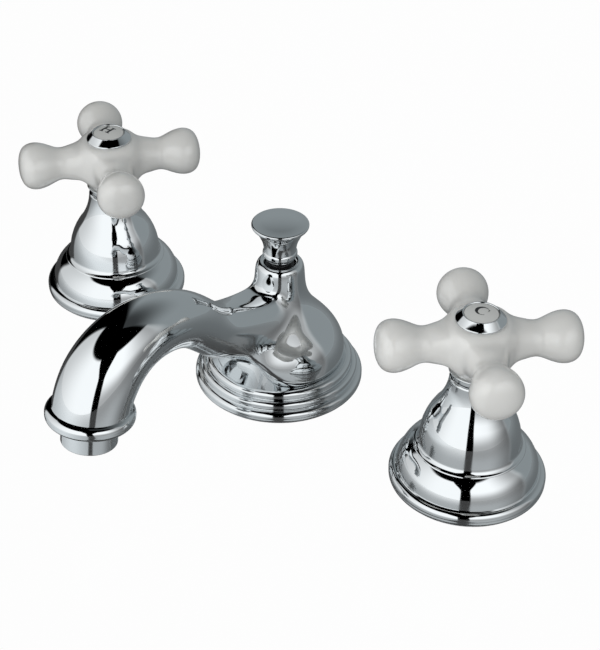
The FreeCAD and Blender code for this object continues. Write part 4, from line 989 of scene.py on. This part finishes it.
def floor_material():
    """The grey table is lighter to the front left, where a soft box shines on it."""
    material, tree = blank("studio_floor")
    where = add_node(tree, "ShaderNodeSeparateXYZ", {"Vector": own_place(tree)})
    from_left = degrees_round(Sock(where, "X") * -1, Sock(where, "Y"))
    grey = tinted(tree, (0.96, 1.0, 1.02), TABLE_GREY + TABLE_GLOW * from_left.band(-95, -25, 20))
    links = {"Base Color": grey, "Metallic": METAL, "Roughness": 0.16}
    table = add_node(tree, "ShaderNodeBsdfPrincipled", links)
    pale = add_node(tree, "ShaderNodeBsdfDiffuse", {"Color": (0.7, 0.7, 0.7, 1)})
    white = add_node(tree, "ShaderNodeEmission", {"Color": (0.999, 0.999, 0.999, 1)})
    diffuse_ray = Sock(add_node(tree, "ShaderNodeLightPath"), "Is Diffuse Ray")
    top = mixed(tree, diffuse_ray, table, pale)
    show(tree, background_mix(tree, white, top, FLOOR_SEEN, FLOOR_MIRRORED))
    return material


bpy.ops.mesh.primitive_plane_add(size=FLOOR_SIZE, location=(0, 0, -FLOOR_DROP))
floor = bpy.context.object
floor.name = "studio_floor"
floor.data.materials.append(floor_material())
print("floor:", FLOOR_SIZE, "m wide")

# %% [markdown]
# ## The room in the chrome
# Chrome has no colour of its own: it looks like whatever stands round it. In the photograph that is two
# soft boxes with a dark gap between them, a black flag beside the left one, and a grey room. Each could
# be a card of its own, but then every bend in the metal shows where they don't meet. A dome round the
# set holds them all, painted by bearing and height as seen from the set, and shows only in reflections.

# %% Where things stand on the dome
# All in degrees. Bearing 0 is towards the camera, and rises to the right.
LEFT_BOX, RIGHT_BOX, BOX_TOP, BOX_EDGE = (-124, 0), (0, 86), (47, 51), 4
GAP_HALF, GAP_SPREAD, GAP_RISE, GAP_EDGE = 7, 19, (24, 60), 0.7
FLAG, FLAG_DARK = (-160, -124), 0.97
ROOM, ROOM_FADE, ROOM_EDGE = (-165, 84), (24, 76), 6
ROOM_GREY = 0.34


def box_light(bearing, height):
    """The glow of both soft boxes, with the gap between them and the flag beside them."""
    # Each box is dimmer towards its far end, and the right one towards its foot too.
    left = bearing.band(*LEFT_BOX, BOX_EDGE) * (0.75 + 0.5 * bearing.ramp(-122, -40))
    right = bearing.band(*RIGHT_BOX, BOX_EDGE) * (1.3 - 0.85 * bearing.ramp(35, 84)) \
        * (0.4 + 0.6 * height.ramp(-2, 22))
    past_gap = bearing.math("ABSOLUTE") - (GAP_HALF + GAP_SPREAD * height.ramp(*GAP_RISE))
    flag = 1 - FLAG_DARK * bearing.band(*FLAG, BOX_EDGE)
    return (left + right) * (1 - height.ramp(*BOX_TOP)) * past_gap.ramp(-GAP_EDGE, GAP_EDGE) * flag


def room_light(bearing, height):
    """The grey of the room behind the set, which fades towards the ceiling."""
    behind = 1 - bearing.band(*ROOM, ROOM_EDGE)
    return behind * (1 - 0.85 * height.ramp(*ROOM_FADE)) * ROOM_GREY


# %% The dome
DOME_SIZE, DOME_HEIGHT = 0.75, 0.05
FACING = math.radians(-48.3)


def dome_material():
    """The boxes and the room, as light."""
    material, tree = blank("studio_dome")
    where = add_node(tree, "ShaderNodeSeparateXYZ", {"Vector": own_place(tree)})
    bearing = degrees_round(Sock(where, "X"), Sock(where, "Y"))
    height = Sock(where, "Z").math("ARCSINE").math("DEGREES")
    shine = tinted(tree, (0.98, 1.0, 1.01), box_light(bearing, height))
    grey = tinted(tree, (0.90, 1.0, 1.04), room_light(bearing, height))
    both = add_node(tree, "ShaderNodeVectorMath", {0: shine, 1: grey}, operation="ADD")
    show(tree, add_node(tree, "ShaderNodeEmission", {"Color": Sock(both)}))
    return material


def mirror_only(piece):
    """Keeps a stage piece out of every ray but the reflections."""
    piece.visible_camera = piece.visible_shadow = False
    piece.visible_diffuse = piece.visible_transmission = False
    piece.data.materials[0].cycles.emission_sampling = "NONE"


bpy.ops.mesh.primitive_uv_sphere_add(segments=64, ring_count=32, radius=1)
dome = bpy.context.object
dome.name = "studio_dome"
dome.scale = (DOME_SIZE, DOME_SIZE, DOME_SIZE)
dome.location.z = DOME_HEIGHT
dome.rotation_euler.z = FACING
dome.data.materials.append(dome_material())
mirror_only(dome)
print("dome:", DOME_SIZE, "m in radius")

# %% [markdown]
# ## The white beyond
# Past the floor the photograph is plain white. More light would get there too, but it would wash out
# the pale porcelain. The world is white only to the camera, and to mirrors that look past the dome. To
# the rest it is an even grey light, which stands for the bright room and keeps the shadows soft.

# %% World
world = bpy.context.scene.world or bpy.data.worlds.new("World")
bpy.context.scene.world = world
world.use_nodes = True
tree = world.node_tree
tree.nodes.clear()
room = add_node(tree, "ShaderNodeBackground", {"Color": (0.37, 0.375, 0.37, 1)})
white = add_node(tree, "ShaderNodeBackground", {"Color": (0.995, 0.995, 0.995, 1)})
show(tree, background_mix(tree, white, room), "ShaderNodeOutputWorld")
print("world nodes:", len(tree.nodes))

# %% [markdown]
# ## Soft lamps
# The dome lights only what mirrors it, so the porcelain needs lamps: a key from the front left and a
# weaker fill from the right. A small lamp would cut hard shadows into the valleys between the arms, so
# both are large discs. They are hidden from the chrome, which already has its boxes.

# %% Lamps
AIM = Vector((0, 0, 0.05))


def soft_light(name, where, width, power):
    """A large soft light for the porcelain and the floor. It stays out of the chrome."""
    data = bpy.data.lights.new(name, "AREA")
    data.shape = "DISK"
    data.size = width
    data.energy = power
    lamp = bpy.data.objects.new(name, data)
    bpy.context.collection.objects.link(lamp)
    lamp.location = where
    lamp.rotation_euler = (AIM - Vector(where)).to_track_quat("-Z", "Y").to_euler()
    lamp.visible_glossy = lamp.visible_camera = False
    print(name, "gives", power, "W from", where)


soft_light("key", (-0.12, -0.60, 0.38), 0.45, 1.45)
soft_light("fill", (0.42, -0.42, 0.36), 0.4, 1.15)

# %% [markdown]
# ## Camera
# The camera stands to the front right of the set and looks down on it. Its place could be found by eye,
# but it was fitted instead: the angles, distance and a slight roll were changed until places that are
# easy to find, such as the round bases, fell where the photograph has them. It is given as angles round
# the point that it looks at, like a camera that is carried round the set.

# %% Camera
AZIMUTH, ELEVATION, ROLL = math.radians(40.87), math.radians(35.43), math.radians(1.08)
DISTANCE = 768.3
LOOK_AT = Vector((-17.48, 33.65, 0))
FILM, LENS = 36, 94.1
eye = LOOK_AT + DISTANCE * Vector((math.sin(AZIMUTH) * math.cos(ELEVATION),
                                   -math.cos(AZIMUTH) * math.cos(ELEVATION), math.sin(ELEVATION)))
camera_data = bpy.data.cameras.new("camera")
camera_data.sensor_width = FILM
camera_data.lens = LENS
camera_data.clip_start = 0.05
camera = bpy.data.objects.new("camera", camera_data)
bpy.context.collection.objects.link(camera)
turn = (LOOK_AT - eye).to_track_quat("-Z", "Y").to_matrix().to_4x4() @ Matrix.Rotation(ROLL, 4, "Z")
camera.matrix_world = Matrix.Translation(eye * MM) @ turn
bpy.context.scene.camera = camera
bpy.context.scene.view_settings.view_transform = "Standard"
print("camera at", [round(c) for c in eye], "mm")
